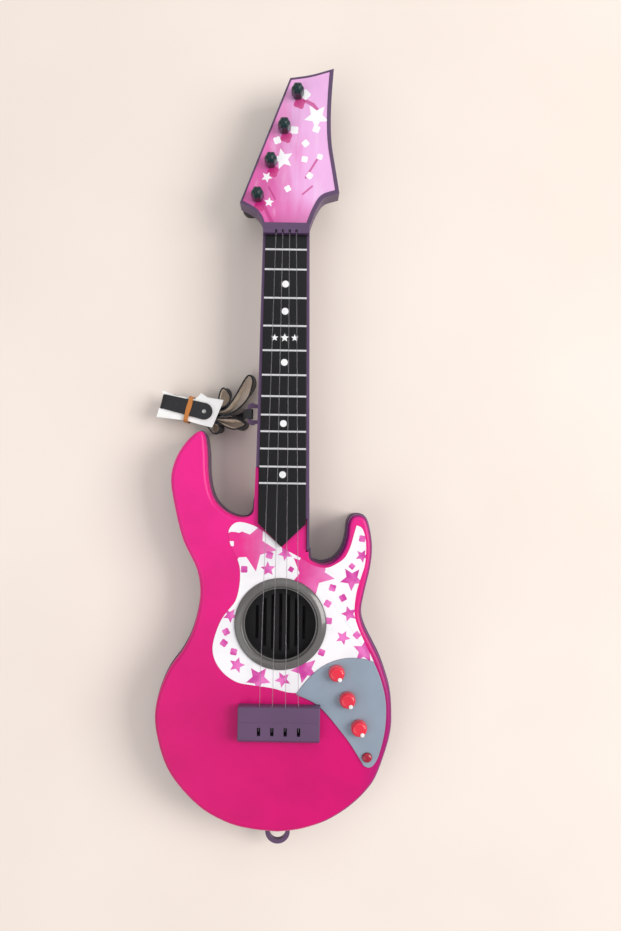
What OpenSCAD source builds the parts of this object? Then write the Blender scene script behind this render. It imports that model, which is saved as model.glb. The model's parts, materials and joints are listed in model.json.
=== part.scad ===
// Toy electric guitar lying on its back.
// X runs across the body, Y along the neck towards the headstock, Z out of the front face.
// The origin is on the back face, straight behind the centre of the sound hole.

/* [Body] */
// Depth of the body from its back face to its front face
body_d = 40; // [39:0.5:42]
// Wall thickness of the front shell and of the back shell's sides
wall = 2.4; // [2:0.2:2.8]
// Height of the seam between the back shell and the front shell
seam_z = 28; // [27:0.5:29]
// How far the purple bead stands out at the seam
bead_out = 1.4; // [1:0.2:1.8]

/* [Neck] */
// Width of the neck at the nut
neck_w_nut = 35; // [34.6:0.2:35.6]
// Width of the neck where it enters the body
neck_w_body = 42; // [41.6:0.2:42.4]
// Radius of the rounded back of the neck
neck_back_r = 26; // [25:0.5:28]
// Thickness of the fingerboard
board_t = 3.5; // [3:0.25:4]

/* [Strings] */
// Radius of a string
string_r = 0.3; // [0.25:0.05:0.4]
// Distance from the middle to the outer strings at the nut
nut_spread = 7.6; // [7:0.1:8]
// Distance from the middle to the outer strings at the bridge
bridge_spread = 14.9; // [14.5:0.1:15.3]

/* [Sound hole] */
// Outer radius of the ring
ring_r = 34.8; // [34:0.2:35]
// Inner radius of the ring
ring_inner_r = 26.6; // [26:0.2:27.4]
// Depth of the sound cup's floor below the front face
cup_depth = 9; // [8:0.5:10]

/* [Controls] */
// Radius of a rotary knob at its foot
knob_r = 6.3; // [6:0.1:6.6]
// Height of a rotary knob above the panel
knob_h = 7.2; // [6.6:0.2:8]
// Radius of the push button
button_r = 3.6; // [3.2:0.1:3.8]
// Travel of the push button
button_travel = 1.5; // [1:0.1:1.5]

/* [Headstock] */
// Radius of a tuning peg's knob
peg_r = 4.4; // [4:0.1:4.8]
// Height of a tuning peg's knob above the face
peg_h = 14; // [12:0.5:15]

/* [Strap] */
// Width of the strap
strap_w = 14; // [12:0.5:14]
// Thickness of the strap
strap_t = 1.3; // [1:0.1:1.4]

/* [Hidden] */
$fn = 64;
EPS = 0.01;
FAR = 500;

PINK = [0.86, 0.06, 0.47];
PURPLE = [0.36, 0.25, 0.42];
BLACK = [0.07, 0.07, 0.08];
STEEL = [0.75, 0.76, 0.78];

// Levels above the floor
front_z = body_d;
plate_z = front_z - wall;
floor_t = 3.4;
neck_top_z = front_z + 2;
board_top_z = front_z + board_t;
neck_axis_z = 20 + neck_back_r;
head_rim_z = front_z - 1;
head_base_z = 21;
face_z = head_rim_z - 1.6;
face_t = 1.3;
panel_t = 1.2;
panel_top_z = front_z + panel_t;
circuit_z = 22;
circuit_t = 1.6;
circuit_top_z = circuit_z + circuit_t;
switch_top_z = circuit_top_z + 4.4;

// Places along the neck
heel_y = 57;
collar_y = 80;
tongue_y = 118.5;
nut_y = 293.5;
nut_end_y = 301.5;
board_w_nut = 31;
board_w_body = 36;
board_shoulder_y = 76;
board_tip_y = 58.5;

// Functions for curves and outlines
function span(a, b, c, d, t) =
  let (e = 2 * a - 5 * b + 4 * c - d, f = 3 * b - a - 3 * c + d)
    0.5 * (2 * b + (c - a) * t + e * t * t + f * t * t * t);
// A smooth curve through every point of p, with n steps between neighbours
function curve(p, n = 4) = concat(
  [
    for (i = [0 : len(p) - 2])
      for (k = [0 : n - 1])
        span(p[max(i - 1, 0)], p[i], p[i + 1], p[min(i + 2, len(p) - 1)], k / n)
  ],
  [p[len(p) - 1]]
);
function flipped(p) = [for (i = [len(p) - 1 : -1 : 0]) p[i]];
function unit(v) = v / norm(v);
function heading(p, i) = unit(p[min(i + 1, len(p) - 1)] - p[max(i - 1, 0)]);
function beside(p, i, w) = let (h = heading(p, i)) p[i] + w * [-h[1], h[0]];
// The outline of a band of thickness t along the path p
function band(p, t) = concat(
  [for (i = [0 : len(p) - 1]) beside(p, i, t / 2)],
  flipped([for (i = [0 : len(p) - 1]) beside(p, i, -t / 2)])
);
function star_points(r, inner) = [
  for (k = [0 : 9]) (k % 2 == 0 ? r : r * inner) * [sin(36 * k), cos(36 * k)]
];
function neck_half(y) =
  neck_w_body / 2 + (neck_w_nut - neck_w_body) / 2 * (y - heel_y) / (nut_end_y - heel_y);

// Body outline: lower bout, waist, upper horn and cutaway on the left
left_side = curve([
  [0, -158.5], [-18, -157], [-36, -153], [-56, -143], [-73, -127.5], [-85, -110.5], [-92, -90],
  [-94.5, -71.5], [-91.5, -54], [-84, -35.5], [-73.5, -20.5], [-66, -4], [-61.5, 19], [-64, 39.5],
  [-74.5, 61], [-80.5, 82], [-85, 107], [-82, 123], [-75, 135.5], [-65.5, 144.5], [-60.5, 143.5],
  [-58, 131], [-57, 112], [-53.5, 96.5], [-46.5, 87], [-37, 81.5], [-28, 80.5], [-22.8, 84.5],
  [-21.5, 92]
]);
// Cutaway, lower horn, waist and lower bout on the right, going down
right_side = curve([
  [21.5, 56], [22, 50], [25, 47], [30.5, 45.5], [37, 47], [42.5, 51], [47, 58], [49.5, 67],
  [50.5, 77], [53.5, 82.5], [59, 83.5], [64, 80.5], [67, 71.5], [68.8, 58], [67.5, 43], [63.5, 25],
  [61, 10], [63.5, -1], [69, -12], [75, -23.5], [80, -36.5], [84, -50.5], [85.5, -66.5], [85, -80],
  [81.5, -95], [74, -116], [65.5, -128], [55, -138], [43.5, -146], [32, -151.7], [16, -156.5],
  [0, -158.5]
]);
tongue = [[-20.6, tongue_y], [-17.9, tongue_y], [-18.1, collar_y], [19, collar_y], [19, 56]];
heel = [[-21, 95], [-17, 99], [17, 99], [21, 95]];

// Printed front plate
plate_top = curve([
  [-34, 50.5], [-38.8, 60], [-40, 70.5], [-34, 76.5], [-23.5, 75], [-13, 69.5], [0, 58]
]);
plate_cutaway = curve([
  [0, 58], [16, 49.5], [25, 44.5], [34, 43], [41.5, 46], [48, 51], [52, 59], [54.5, 68], [56.5, 75.5]
]);
plate_right = curve([
  [56.5, 75.5], [61, 73], [63.8, 63], [63.5, 47.5], [60.5, 36.5], [57, 23.5], [56, 9], [59, -2],
  [64.5, -14], [71.5, -28]
]);
plate_bottom = curve([
  [14, -52], [6, -51.5], [-6, -48.5], [-21.5, -46.5], [-32, -44.5], [-41, -39], [-48, -30.5],
  [-51, -20.5], [-49.5, -10], [-45, 2], [-39.5, 10], [-34.5, 16.5], [-32, 25], [-31, 34.5],
  [-31.5, 43], [-34, 50.5]
]);

// Control panel
panel_top = curve([
  [12.5, -53], [18, -45.5], [25, -37.5], [32.5, -31.5], [41, -27.3], [51, -25], [62, -25.2],
  [71, -27.5]
]);
panel_right = curve([
  [71, -27.5], [76, -39], [80, -53.5], [81, -66], [80.3, -78.5], [78, -90.5], [75, -100.5],
  [71.5, -106], [68, -107.5], [64.5, -106]
]);
panel_left = curve([[64.5, -106], [54, -89.5], [44.5, -77.5], [35, -66.5], [26, -59], [12.5, -53]]);

// Headstock face
face_outline = concat(
  curve([[-16.2, 303], [-18.5, 309], [-23.5, 315], [-33.5, 320.5]]),
  curve([[2, 412.5], [16.5, 414.8], [31, 419]]),
  curve([[31, 419], [29.8, 400], [29.5, 381], [30.5, 364], [33.5, 346.5], [36.5, 329.5]]),
  curve([[36.5, 329.5], [26, 325.5], [19.5, 315.5], [14.8, 303]])
);

// Places of the parts that repeat
fret_at = [11, 26, 47.5, 68.5, 87, 105.5, 121.5, 135.5, 148, 161, 174.5, 187];
dot_at = [37, 57.5, 96, 142, 180.5];
motif_at = 77.5;
knob_at = [[43, -36], [51.5, -56], [60.5, -77]];
button_at = [67, -99.5];
peg_at = [for (k = [0 : 3]) [7 - 9.7 * k, 401.5 - 26 * k]];
key_angle = [69, 69, 69, 184];
screw_at = [
  [-32, -141], [32, -141], [-84, -78], [60, -122], [-52, 16], [52, 14], [-72, 112], [59.5, 68]
];
neck_screw_at = [[0, 66], [0, 84]];
post_at = [[37, -50], [68, -52], [71, -90]];
string_share = [-1, -1 / 3, 1 / 3, 1];

// Gaps round the parts that move
shaft_hole_r = 3.9;
knob_gap = 0.3;
button_gap = 0.08;

// Strap ring
strap_ring_y = -165.5;
strap_ring_z = 14.5;
strap_ring_t = 5;
strap_ring_r = 9.6;
strap_ring_hole_r = 6.3;

// Screws
screw_head_r = 2.8;
screw_head_z = 0.6;
screw_head_t = 2;
screw_r = 1.4;
screw_top_z = 32;
boss_r = 4;
boss_top_z = 20;
post_r = 3;

// Strings
nut_string_z = board_top_z + 3.4;
bridge_string_z = front_z + 8.95;
string_nut_y = 297.2;
string_bridge_y = -79;
string_bar_top_z = front_z + 4;
bridge_w = 61.6;
clamp_z = 30;
clamp_t = 4;

// Battery bay
bay_y = -95;
cell_r = 7.1;
cell_l = 50;
cell_pitch = 14.6;
bay_w = 3 * cell_pitch;
bay_l = 53;
bay_wall = 1.6;
bay_top_z = 18.2;
cover_w = 50.4;
cover_end_y = -124.5;
cover_l = 67;
cover_z = 0.3;
cover_t = 1.8;
cover_gap = 0.2;
cover_screw_y = -62;
cover_screw_r = 1.3;

// Strap
strap_z = 1.6;
strap_top_z = strap_z + strap_w;
pack_turn = -13;
pack_end = [-52.7, 158.6];
pack_l = 36;
layer_pitch = 1.9;
layer_at = [for (k = [0 : 8]) (4 - k) * layer_pitch];
card_z = strap_top_z + 0.3;
card_t = 0.6;
tab_z = card_z + card_t + 0.3;
tab_end = 10.4;
tab_side = 1;
tab_r = 6.6;
tab_hole_r = 1.6;
turn_t = -pack_l - 9;
turn_w = 11.4;
band_t = 0.9;
band_w = 3.6;
// A place in the pack: t along it from its right end, w across it
function pack(t, w) =
  pack_end + [t * cos(pack_turn) - w * sin(pack_turn), t * sin(pack_turn) + w * cos(pack_turn)];
// A fold at the pack's left end, from layer offset a to layer offset b
function fold(a, b) = [
  for (k = [0 : 6])
    let (g = 90 + 30 * k, m = (a + b) / 2, r = abs(a - b) / 2)
      pack(-pack_l + r * cos(g), m + (a > b ? 1 : -1) * r * sin(g))
];
lug_tail = [[-31.5, 160], [-37.2, 159.8], [-45.6, 158.1]];
long_loop = [
  [-44.6, 160.5], [-35.3, 166.1], [-28, 175], [-24.2, 184], [-25, 190], [-28.5, 191.5], [-31.5, 188],
  [-34, 181], [-38.8, 172.1], [-45.1, 164.1]
];
arch_loop = [
  [-48.2, 165.1], [-44.3, 169.3], [-42.8, 175], [-45, 180], [-48.8, 180], [-50.8, 175.5], [-51.6, 169.6]
];
low_loop = [
  [-46.6, 155.8], [-38.5, 155.7], [-32, 155], [-29.4, 152.4], [-31.8, 149.6], [-37, 149], [-42.5, 149.9],
  [-47.6, 152.2]
];
horn_loop = [
  [-50.2, 150.9], [-49.2, 148.4], [-51.2, 146], [-54.6, 145], [-57.2, 147], [-59.3, 149.5], [-62.5, 151.7]
];
// The strap leaves the pack at layer a, makes a loop and comes back at layer b
function loop(a, points, b, back = 0) =
  let (start = [pack(-4, layer_at[a]), pack(0, layer_at[a])])
    let (end = [pack(-back, layer_at[b]), pack(-back - 4, layer_at[b])])
      curve(concat(start, points, end), 3);
horn_fold = concat(
  [pack(-8, layer_at[7]), pack(-3, layer_at[7])], horn_loop,
  [pack(-16, layer_at[8]), pack(-22, layer_at[8])]
);
strap_path = concat(
  curve(concat(lug_tail, [pack(0, layer_at[4])]), 3), flipped(fold(layer_at[3], layer_at[4])),
  loop(3, long_loop, 2), flipped(fold(layer_at[1], layer_at[2])),
  loop(1, arch_loop, 0, 2), fold(layer_at[0], layer_at[5]),
  loop(5, low_loop, 6), fold(layer_at[6], layer_at[7]),
  curve(horn_fold, 3),
  [pack(-pack_l - 8.5, layer_at[8])]
);

// Wires
speaker_wire = [
  [17.4, -16.6, 19.5], [19.5, -19, 19.2], [23, -24, 18], [27, -29, 18.5], [31, -33, 20.2], [35, -37, 21.3]
];
battery_wire = [
  [25.2, -84, 12], [28, -84, 12], [32, -81, 13.5], [36, -76, 16.5], [41, -70, 19.5], [46, -66, 21.3]
];
wire_r = 0.6;

// ---------- shapes used by several parts ----------

module front_outline() {
  polygon(concat(left_side, tongue, right_side));
}

module back_outline() {
  polygon(concat(left_side, heel, right_side));
}

module panel_outline() {
  polygon(concat(panel_top, panel_right, panel_left));
}

module slab(z0, z1) {
  translate([0, 0, z0])
    linear_extrude(z1 - z0)
      children();
}

module bar_x(w, r) {
  rotate([0, 90, 0])
    cylinder(h = w, r = r, center = true);
}

// The neck's outer form, from the heel to the nut, grown by g
module neck_form(g) {
  intersection() {
    slab(0, neck_top_z)
      polygon([
        [-neck_half(heel_y) - g, heel_y - g], [neck_half(heel_y) + g, heel_y - g],
        [neck_half(nut_end_y) + g, nut_end_y], [-neck_half(nut_end_y) - g, nut_end_y]
      ]);
    translate([0, heel_y - 5, neck_axis_z])
      rotate([-90, 0, 0])
        cylinder(h = nut_end_y, r = neck_back_r + g, $fn = 96);
  }
}

module fingerboard_outline(shoulder_y, tip_y) {
  polygon([
    [-board_w_nut / 2, nut_y], [board_w_nut / 2, nut_y], [board_w_body / 2, shoulder_y], [0, tip_y],
    [-board_w_body / 2, shoulder_y]
  ]);
}

// A tube of radius r swept along the points of path
module tube(path, r, sides = 8) {
  n = len(path);
  rings = [
    for (i = [0 : n - 1])
      let (h = heading(path, i), u = unit(cross(h, [0, 0, 1])), v = cross(u, h))
        for (k = [0 : sides - 1])
          path[i] + r * (cos(360 * k / sides) * u + sin(360 * k / sides) * v)
  ];
  sides_up = [
    for (i = [0 : n - 2])
      for (k = [0 : sides - 1])
        let (a = i * sides + k, b = i * sides + (k + 1) % sides)
          each [[a, b, b + sides], [a, b + sides, a + sides]]
  ];
  start = [[for (k = [sides - 1 : -1 : 0]) k]];
  end = [[for (k = [0 : sides - 1]) (n - 1) * sides + k]];
  polyhedron(points = rings, faces = concat(sides_up, start, end));
}

module screw(top_z) {
  difference() {
    union() {
      translate([0, 0, screw_head_z])
        cylinder(h = screw_head_t, r = screw_head_r);
      translate([0, 0, screw_head_z])
        cylinder(h = top_z - screw_head_z, r = screw_r);
    }
    for (a = [0, 90])
      rotate(a)
        translate([-1.8, -0.4, 0])
          cube([3.6, 0.8, screw_head_z + 1]);
  }
}

// ---------- shells ----------

// The front shell before it is hollowed, with a stepped edge and the collar beside the neck
module front_block() {
  slab(seam_z, front_z - 3)
    front_outline();
  slab(front_z - 3, front_z - 1)
    offset(delta = -1)
      front_outline();
  slab(front_z - 1, front_z)
    offset(delta = -3)
      front_outline();
  slab(seam_z, front_z)
    polygon([[-20.6, tongue_y], [-18, tongue_y], [-18, 70], [-21.4, 86]]);
  slab(front_z - 3, front_z)
    polygon([[-18.1, 70], [-18.1, collar_y], [19, collar_y], [19, 57], [15, 50]]);
}

module body_front() {
  color(PINK)
    difference() {
      union() {
        difference() {
          front_block();
          slab(0, plate_z)
            offset(delta = -wall)
              front_outline();
          // Room for the neck's heel under the front plate
          translate([-17.9, heel_y - 0.1, 0])
            cube([39.4, collar_y - heel_y + 0.2, plate_z - 0.1]);
        }
        // Posts that meet the screw bosses, and posts that hold the circuit board
        for (p = screw_at)
          translate([p[0], p[1], boss_top_z + 0.1])
            cylinder(h = plate_z + 0.4 - boss_top_z, r = boss_r);
        for (p = post_at)
          translate([p[0], p[1], circuit_top_z])
            cylinder(h = plate_z + 0.5 - circuit_top_z, r = post_r);
      }
      for (p = screw_at)
        translate([p[0], p[1], 0])
          cylinder(h = screw_top_z + 1, r = screw_r);
      cylinder(h = FAR, r = ring_r - 3.8);
      for (p = knob_at)
        translate([p[0], p[1], 0])
          cylinder(h = FAR, r = shaft_hole_r);
      translate([button_at[0], button_at[1], 0])
        cylinder(h = FAR, r = button_r + button_gap);
    }
}

module body_back() {
  color(PURPLE)
    difference() {
      union() {
        slab(0, 1.2)
          offset(delta = -2.6)
            back_outline();
        slab(1.2, 3.4)
          offset(delta = -0.8)
            back_outline();
        slab(3.4, seam_z)
          back_outline();
        slab(seam_z - 2.4, seam_z)
          offset(delta = bead_out)
            back_outline();
      }
      difference() {
        slab(floor_t, FAR)
          offset(delta = -wall)
            back_outline();
        for (p = concat(screw_at, neck_screw_at))
          translate([p[0], p[1], 0])
            cylinder(h = boss_top_z, r = boss_r);
        translate([0, cover_screw_y, 0])
          cylinder(h = 14, r = 3.5);
      }
      // Room for the neck
      translate([-neck_w_body / 2 - 0.4, heel_y - 0.1, boss_top_z - 0.05])
        cube([neck_w_body + 4, 80, FAR]);
      for (p = concat(screw_at, neck_screw_at))
        translate([p[0], p[1], -1]) {
          cylinder(h = FAR, r = screw_r + 0.1);
          cylinder(h = 1 + screw_head_z + screw_head_t, r = screw_head_r + 0.3);
        }
      // Battery bay
      translate([-cover_w / 2 - cover_gap, cover_end_y - cover_gap, -1])
        cube([cover_w + 2 * cover_gap, cover_l + 2 * cover_gap, 1 + cover_z + cover_t + 0.05]);
      translate([-bay_w / 2, bay_y - bay_l / 2, -1])
        cube([bay_w, bay_l, 10]);
      translate([0, cover_screw_y, -1])
        cylinder(h = 14, r = cover_screw_r + 0.05);
      // Slot for the strap ring's stem
      translate([-4.1, -165, strap_ring_z - 0.6])
        cube([8.2, 12, strap_ring_t + 1.2]);
    }
}

module neck() {
  color(PURPLE)
    difference() {
      union() {
        neck_form(0);
        slab(head_base_z, head_rim_z)
          translate([0.7, -0.7])
            offset(delta = 2.2)
              polygon(face_outline);
        for (p = peg_at)
          translate([p[0], p[1], head_base_z - 1])
            cylinder(h = 3, r = 6);
      }
      // Hollow of the neck, with a ledge for the fingerboard
      intersection() {
        difference() {
          slab(0, front_z + EPS)
            polygon([
              [-neck_half(heel_y + 36) + 4.6, heel_y + 36], [neck_half(heel_y + 36) - 4.6, heel_y + 36],
              [neck_half(nut_y) - 4.4, nut_y - 3], [-neck_half(nut_y) + 4.4, nut_y - 3]
            ]);
          for (y = [130 : 40 : 250])
            translate([-FAR / 2, y, 0])
              cube([FAR, 2, FAR]);
        }
        translate([0, heel_y, neck_axis_z])
          rotate([-90, 0, 0])
            cylinder(h = nut_end_y, r = neck_back_r - 2.2, $fn = 96);
      }
      // Seat of the fingerboard
      slab(front_z, FAR)
        offset(delta = 0.1)
          polygon([
            [-board_w_nut / 2, nut_y], [board_w_nut / 2, nut_y], [board_w_body / 2, collar_y],
            [-board_w_body / 2, collar_y]
          ]);
      // Space for the string clamp and the strings' way down to it
      translate([-12, string_nut_y - 3.2, clamp_z])
        cube([24, 6.4, 8]);
      translate([-9.5, string_nut_y - 1.6, clamp_z])
        cube([19, 3.2, FAR]);
      // The heel drops below the front plate
      translate([-FAR / 2, 0, plate_z - 0.2])
        cube([FAR / 2 + 19.1, collar_y + 0.1, FAR]);
      translate([-FAR / 2, 0, seam_z - 0.1])
        cube([FAR / 2 - 17.8, tongue_y + 0.1, FAR]);
      for (p = neck_screw_at)
        translate([p[0], p[1], 0])
          cylinder(h = screw_top_z + 1, r = screw_r);
      // Headstock tray
      difference() {
        slab(head_base_z + 2, face_z + EPS)
          offset(delta = -1.8)
            polygon(face_outline);
        for (p = peg_at)
          translate([p[0], p[1], 0])
            cylinder(h = FAR, r = 6);
      }
      slab(face_z, FAR)
        offset(delta = 0.1)
          polygon(face_outline);
      for (p = peg_at)
        translate([p[0], p[1], 0])
          cylinder(h = FAR, r = 3.05);
    }
}

module headstock_face() {
  color([0.95, 0.55, 0.78])
    difference() {
      slab(face_z, face_z + face_t)
        polygon(face_outline);
      for (p = peg_at)
        translate([p[0], p[1], 0])
          cylinder(h = FAR, r = 3.3);
    }
}

module nut() {
  color(PURPLE)
    difference() {
      translate([-neck_w_nut / 2 + 0.1, nut_y + 0.1, neck_top_z])
        cube([neck_w_nut - 0.2, nut_end_y - nut_y - 0.1, nut_string_z + 1.4 - neck_top_z]);
      translate([-9.5, string_nut_y - 1.6, 0])
        cube([19, 3.2, nut_string_z + 0.6]);
      for (s = string_share)
        translate([s * nut_spread - 0.8, nut_y - 1, nut_string_z - 0.7])
          cube([1.6, string_nut_y - nut_y, 5]);
    }
}

// ---------- fingerboard ----------

module fingerboard() {
  color(BLACK)
    slab(front_z, board_top_z)
      fingerboard_outline(board_shoulder_y, board_tip_y);
}

module frets() {
  color(STEEL)
    intersection() {
      for (y = fret_at)
        translate([0, nut_y - y, board_top_z])
          bar_x(board_w_body + 4, 0.75);
      slab(board_top_z, FAR)
        polygon([
          [-board_w_nut / 2, nut_y], [board_w_nut / 2, nut_y], [board_w_body / 2, board_shoulder_y],
          [-board_w_body / 2, board_shoulder_y]
        ]);
    }
}

module fret_dots() {
  color("white")
    for (y = dot_at)
      translate([0, nut_y - y, board_top_z])
        cylinder(h = 0.2, r = 2.6);
}

module fret_motif() {
  color("white")
    for (k = [-1 : 1])
      translate([7.5 * k, nut_y - motif_at, board_top_z])
        linear_extrude(0.2)
          polygon(star_points(3.4 - 0.6 * abs(k), 0.45));
}

// ---------- strings and bridge ----------

module rod(a, b, r) {
  d = b - a;
  translate(a)
    rotate([0, acos(d[2] / norm(d)), atan2(d[1], d[0])])
      cylinder(h = norm(d), r = r, $fn = 16);
}

module string_run(k) {
  nut_p = [string_share[k] * nut_spread, string_nut_y, nut_string_z];
  bridge_p = [string_share[k] * bridge_spread, string_bridge_y, bridge_string_z];
  color(STEEL) {
    rod(nut_p, bridge_p, string_r);
    for (p = [nut_p, bridge_p])
      translate(p)
        sphere(r = string_r * 1.05, $fn = 16);
    rod([nut_p[0], nut_p[1], clamp_z + clamp_t], nut_p, string_r);
    rod([bridge_p[0], bridge_p[1], string_bar_top_z], bridge_p, string_r);
  }
}

module string_1() { string_run(0); }
module string_2() { string_run(1); }
module string_3() { string_run(2); }
module string_4() { string_run(3); }

module string_clamp() {
  color(STEEL)
    translate([-11, string_nut_y - 2.5, clamp_z])
      cube([22, 5, clamp_t]);
}

module bridge() {
  color(PURPLE)
    difference() {
      translate([-bridge_w / 2, 0, 0])
        rotate([90, 0, 90])
          linear_extrude(bridge_w)
            polygon([
              [-88, front_z], [-88, front_z + 6], [-85.2, front_z + 10.4], [-72.5, front_z + 10.4],
              [-72, front_z + 9.8], [-61.8, front_z + 9.8], [-60.5, front_z + 8.4], [-60.5, front_z]
            ]);
      translate([-28.8, -86, 0])
        cube([57.6, 23.5, front_z + 5.6]);
      for (s = string_share)
        translate([s * bridge_spread, 0, 0])
          translate([-1.25, -82, front_z])
            cube([2.5, 6.2, 20]);
      for (s = string_share)
        rod(
          [s * nut_spread, string_nut_y, nut_string_z],
          [s * bridge_spread, string_bridge_y, bridge_string_z], string_r + 0.25
        );
    }
}

module string_bar() {
  color(BLACK)
    translate([-bridge_w / 2 + 2.1, string_bridge_y - 3.5, front_z])
      cube([bridge_w - 4.2, 7, string_bar_top_z - front_z]);
}

// ---------- front trim ----------

module star_plate() {
  color("white")
    slab(front_z, front_z + 0.35)
      difference() {
        polygon(concat(plate_top, plate_cutaway, plate_right, plate_bottom));
        circle(r = ring_r + 0.1);
        offset(delta = 0.15)
          panel_outline();
        offset(delta = 0.15)
          fingerboard_outline(board_shoulder_y, board_tip_y);
      }
}

module sound_hole_ring() {
  color([0.28, 0.28, 0.28])
    rotate_extrude($fn = 128)
      polygon(concat(
        [[ring_inner_r, front_z], [ring_r, front_z]],
        [for (a = [0 : 15 : 180]) [
          (ring_r + ring_inner_r) / 2 + (ring_r - ring_inner_r) / 2 * cos(a),
          front_z + 1 + 2.4 * sin(a)
        ]]
      ));
}

module sound_cup() {
  color(BLACK)
    difference() {
      translate([0, 0, front_z - cup_depth - 2])
        cylinder(h = cup_depth + 2, r = ring_r - 4.1, $fn = 128);
      translate([0, 0, front_z - cup_depth])
        cylinder(h = cup_depth + 1, r = ring_r - 6.1, $fn = 128);
      for (k = [-3 : 3])
        translate([6 * k - 1.2, -sqrt(22 * 22 - 36 * k * k), 0])
          cube([2.4, 2 * sqrt(22 * 22 - 36 * k * k), FAR]);
    }
}

module control_panel() {
  color([0.58, 0.64, 0.7])
    difference() {
      slab(front_z, panel_top_z)
        panel_outline();
      // Clear of the bridge
      translate([-bridge_w / 2 - 0.1, -100, 0])
        cube([bridge_w + 0.2, 100 - 60.4, FAR]);
      for (p = knob_at)
        translate([p[0], p[1], 0])
          cylinder(h = FAR, r = shaft_hole_r);
      translate([button_at[0], button_at[1], 0])
        cylinder(h = FAR, r = button_r + button_gap);
    }
}

// ---------- controls ----------

module knob(k) {
  translate([knob_at[k][0], knob_at[k][1], panel_top_z + knob_gap])
    color([0.9, 0.2, 0.3])
      difference() {
        rotate_extrude($fn = 96)
          polygon([
            [0, 0], [knob_r, 0], [knob_r, 1.2], [knob_r - 0.4, knob_h - 2.2], [knob_r - 0.9, knob_h - 1.1],
            [knob_r - 2, knob_h - 0.4], [0, knob_h]
          ]);
        translate([0, 0, -1])
          cylinder(h = 5, r = 2.5);
        rotate(-60)
          translate([knob_r - 1.9, 0, 2.6])
            cylinder(h = 20, r = 1.6);
      }
}

module knob_pointer(k) {
  translate([knob_at[k][0], knob_at[k][1], panel_top_z + knob_gap])
    color("white")
      rotate(-60)
        translate([knob_r - 1.9, 0, 2.6])
          cylinder(h = knob_h - 2.2, r = 1.6);
}

module pot_shaft(k) {
  color(STEEL)
    translate([knob_at[k][0], knob_at[k][1], circuit_top_z + 6])
      cylinder(h = panel_top_z + 4.3 - circuit_top_z - 6, r = 2.5);
}

module knob_1() { knob(0); }
module knob_2() { knob(1); }
module knob_3() { knob(2); }
module knob_pointer_1() { knob_pointer(0); }
module knob_pointer_2() { knob_pointer(1); }
module knob_pointer_3() { knob_pointer(2); }
module pot_shaft_1() { pot_shaft(0); }
module pot_shaft_2() { pot_shaft(1); }
module pot_shaft_3() { pot_shaft(2); }

module potentiometers() {
  color(STEEL)
    for (p = knob_at)
      translate([p[0], p[1], circuit_top_z])
        difference() {
          union() {
            cylinder(h = 7, r = 8);
            cylinder(h = front_z - circuit_top_z, r = 3.6);
          }
          translate([0, 0, 5.9])
            cylinder(h = FAR, r = 2.56);
        }
}

module push_button() {
  color([0.75, 0.08, 0.24])
    translate([button_at[0], button_at[1], 0]) {
      translate([0, 0, plate_z - 2.2])
        rotate_extrude()
          polygon([
            [0, 0], [button_r + 1, 0], [button_r + 1, 2], [button_r, 2], [button_r, 7.2],
            [button_r - 0.5, 7.8], [button_r - 1.6, 8.3], [0, 8.6]
          ]);
      translate([0, 0, switch_top_z + button_travel + 0.3])
        cylinder(h = plate_z - 2 - switch_top_z - button_travel - 0.3, r = 1.5);
    }
}

module button_switch() {
  color(BLACK)
    translate([button_at[0], button_at[1], circuit_top_z]) {
      translate([-3.2, -3.2, 0])
        cube([6.4, 6.4, 3.4]);
      cylinder(h = switch_top_z - circuit_top_z, r = 1.4);
    }
}

module button_spring() {
  turns = 4;
  low_z = circuit_top_z + 3.8;
  high_z = plate_z - 2.6;
  color(STEEL)
    translate([button_at[0], button_at[1], 0])
      tube([
        for (k = [0 : 14 * turns])
          [2.5 * cos(360 * k / 14), 2.5 * sin(360 * k / 14), low_z + (high_z - low_z) * k / (14 * turns)]
      ], 0.3, 6);
}

// ---------- electronics ----------

module circuit_board() {
  color([0.1, 0.4, 0.2])
    slab(circuit_z, circuit_top_z)
      polygon([
        [31, -52], [33, -28], [52, -22], [66, -30], [76, -66], [72.5, -106], [62, -106], [44, -74]
      ]);
}

module board_parts() {
  color(BLACK) {
    for (p = [[62, -40], [47, -70]])
      translate([p[0], p[1], circuit_top_z])
        cylinder(h = 7, r = 2.5);
    translate([62, -64, circuit_top_z])
      cube([10, 7, 1.8]);
    translate([40, -66, circuit_top_z])
      cube([3.4, 4.5, 4]);
  }
}

module speaker_frame() {
  color([0.3, 0.3, 0.32]) {
    rotate_extrude()
      polygon([
        [24.7, front_z - 14.5], [28, front_z - 14.5], [28, front_z - 11.2], [24.7, front_z - 11.2],
        [24.7, front_z - 13], [11, front_z - 24.6], [6, front_z - 24.6], [6, front_z - 26],
        [12, front_z - 26]
      ]);
    rotate(-44)
      translate([17, -3, front_z - 22])
        cube([6.2, 6, 3]);
  }
}

module speaker_cone() {
  color([0.16, 0.16, 0.17])
    rotate_extrude()
      polygon([
        [24.5, front_z - 12], [24.5, front_z - 11.4], [23, front_z - 11.4], [8, front_z - 19.6],
        [4, front_z - 17.6], [0, front_z - 17], [0, front_z - 17.8], [4, front_z - 18.4],
        [8, front_z - 20.6], [23, front_z - 12]
      ]);
}

module speaker_magnet() {
  color(STEEL)
    translate([0, 0, front_z - 34])
      difference() {
        cylinder(h = 8, r = 15);
        translate([0, 0, 6])
          difference() {
            cylinder(h = 10, r = 8);
            cylinder(h = 10, r = 5);
          }
      }
}

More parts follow.
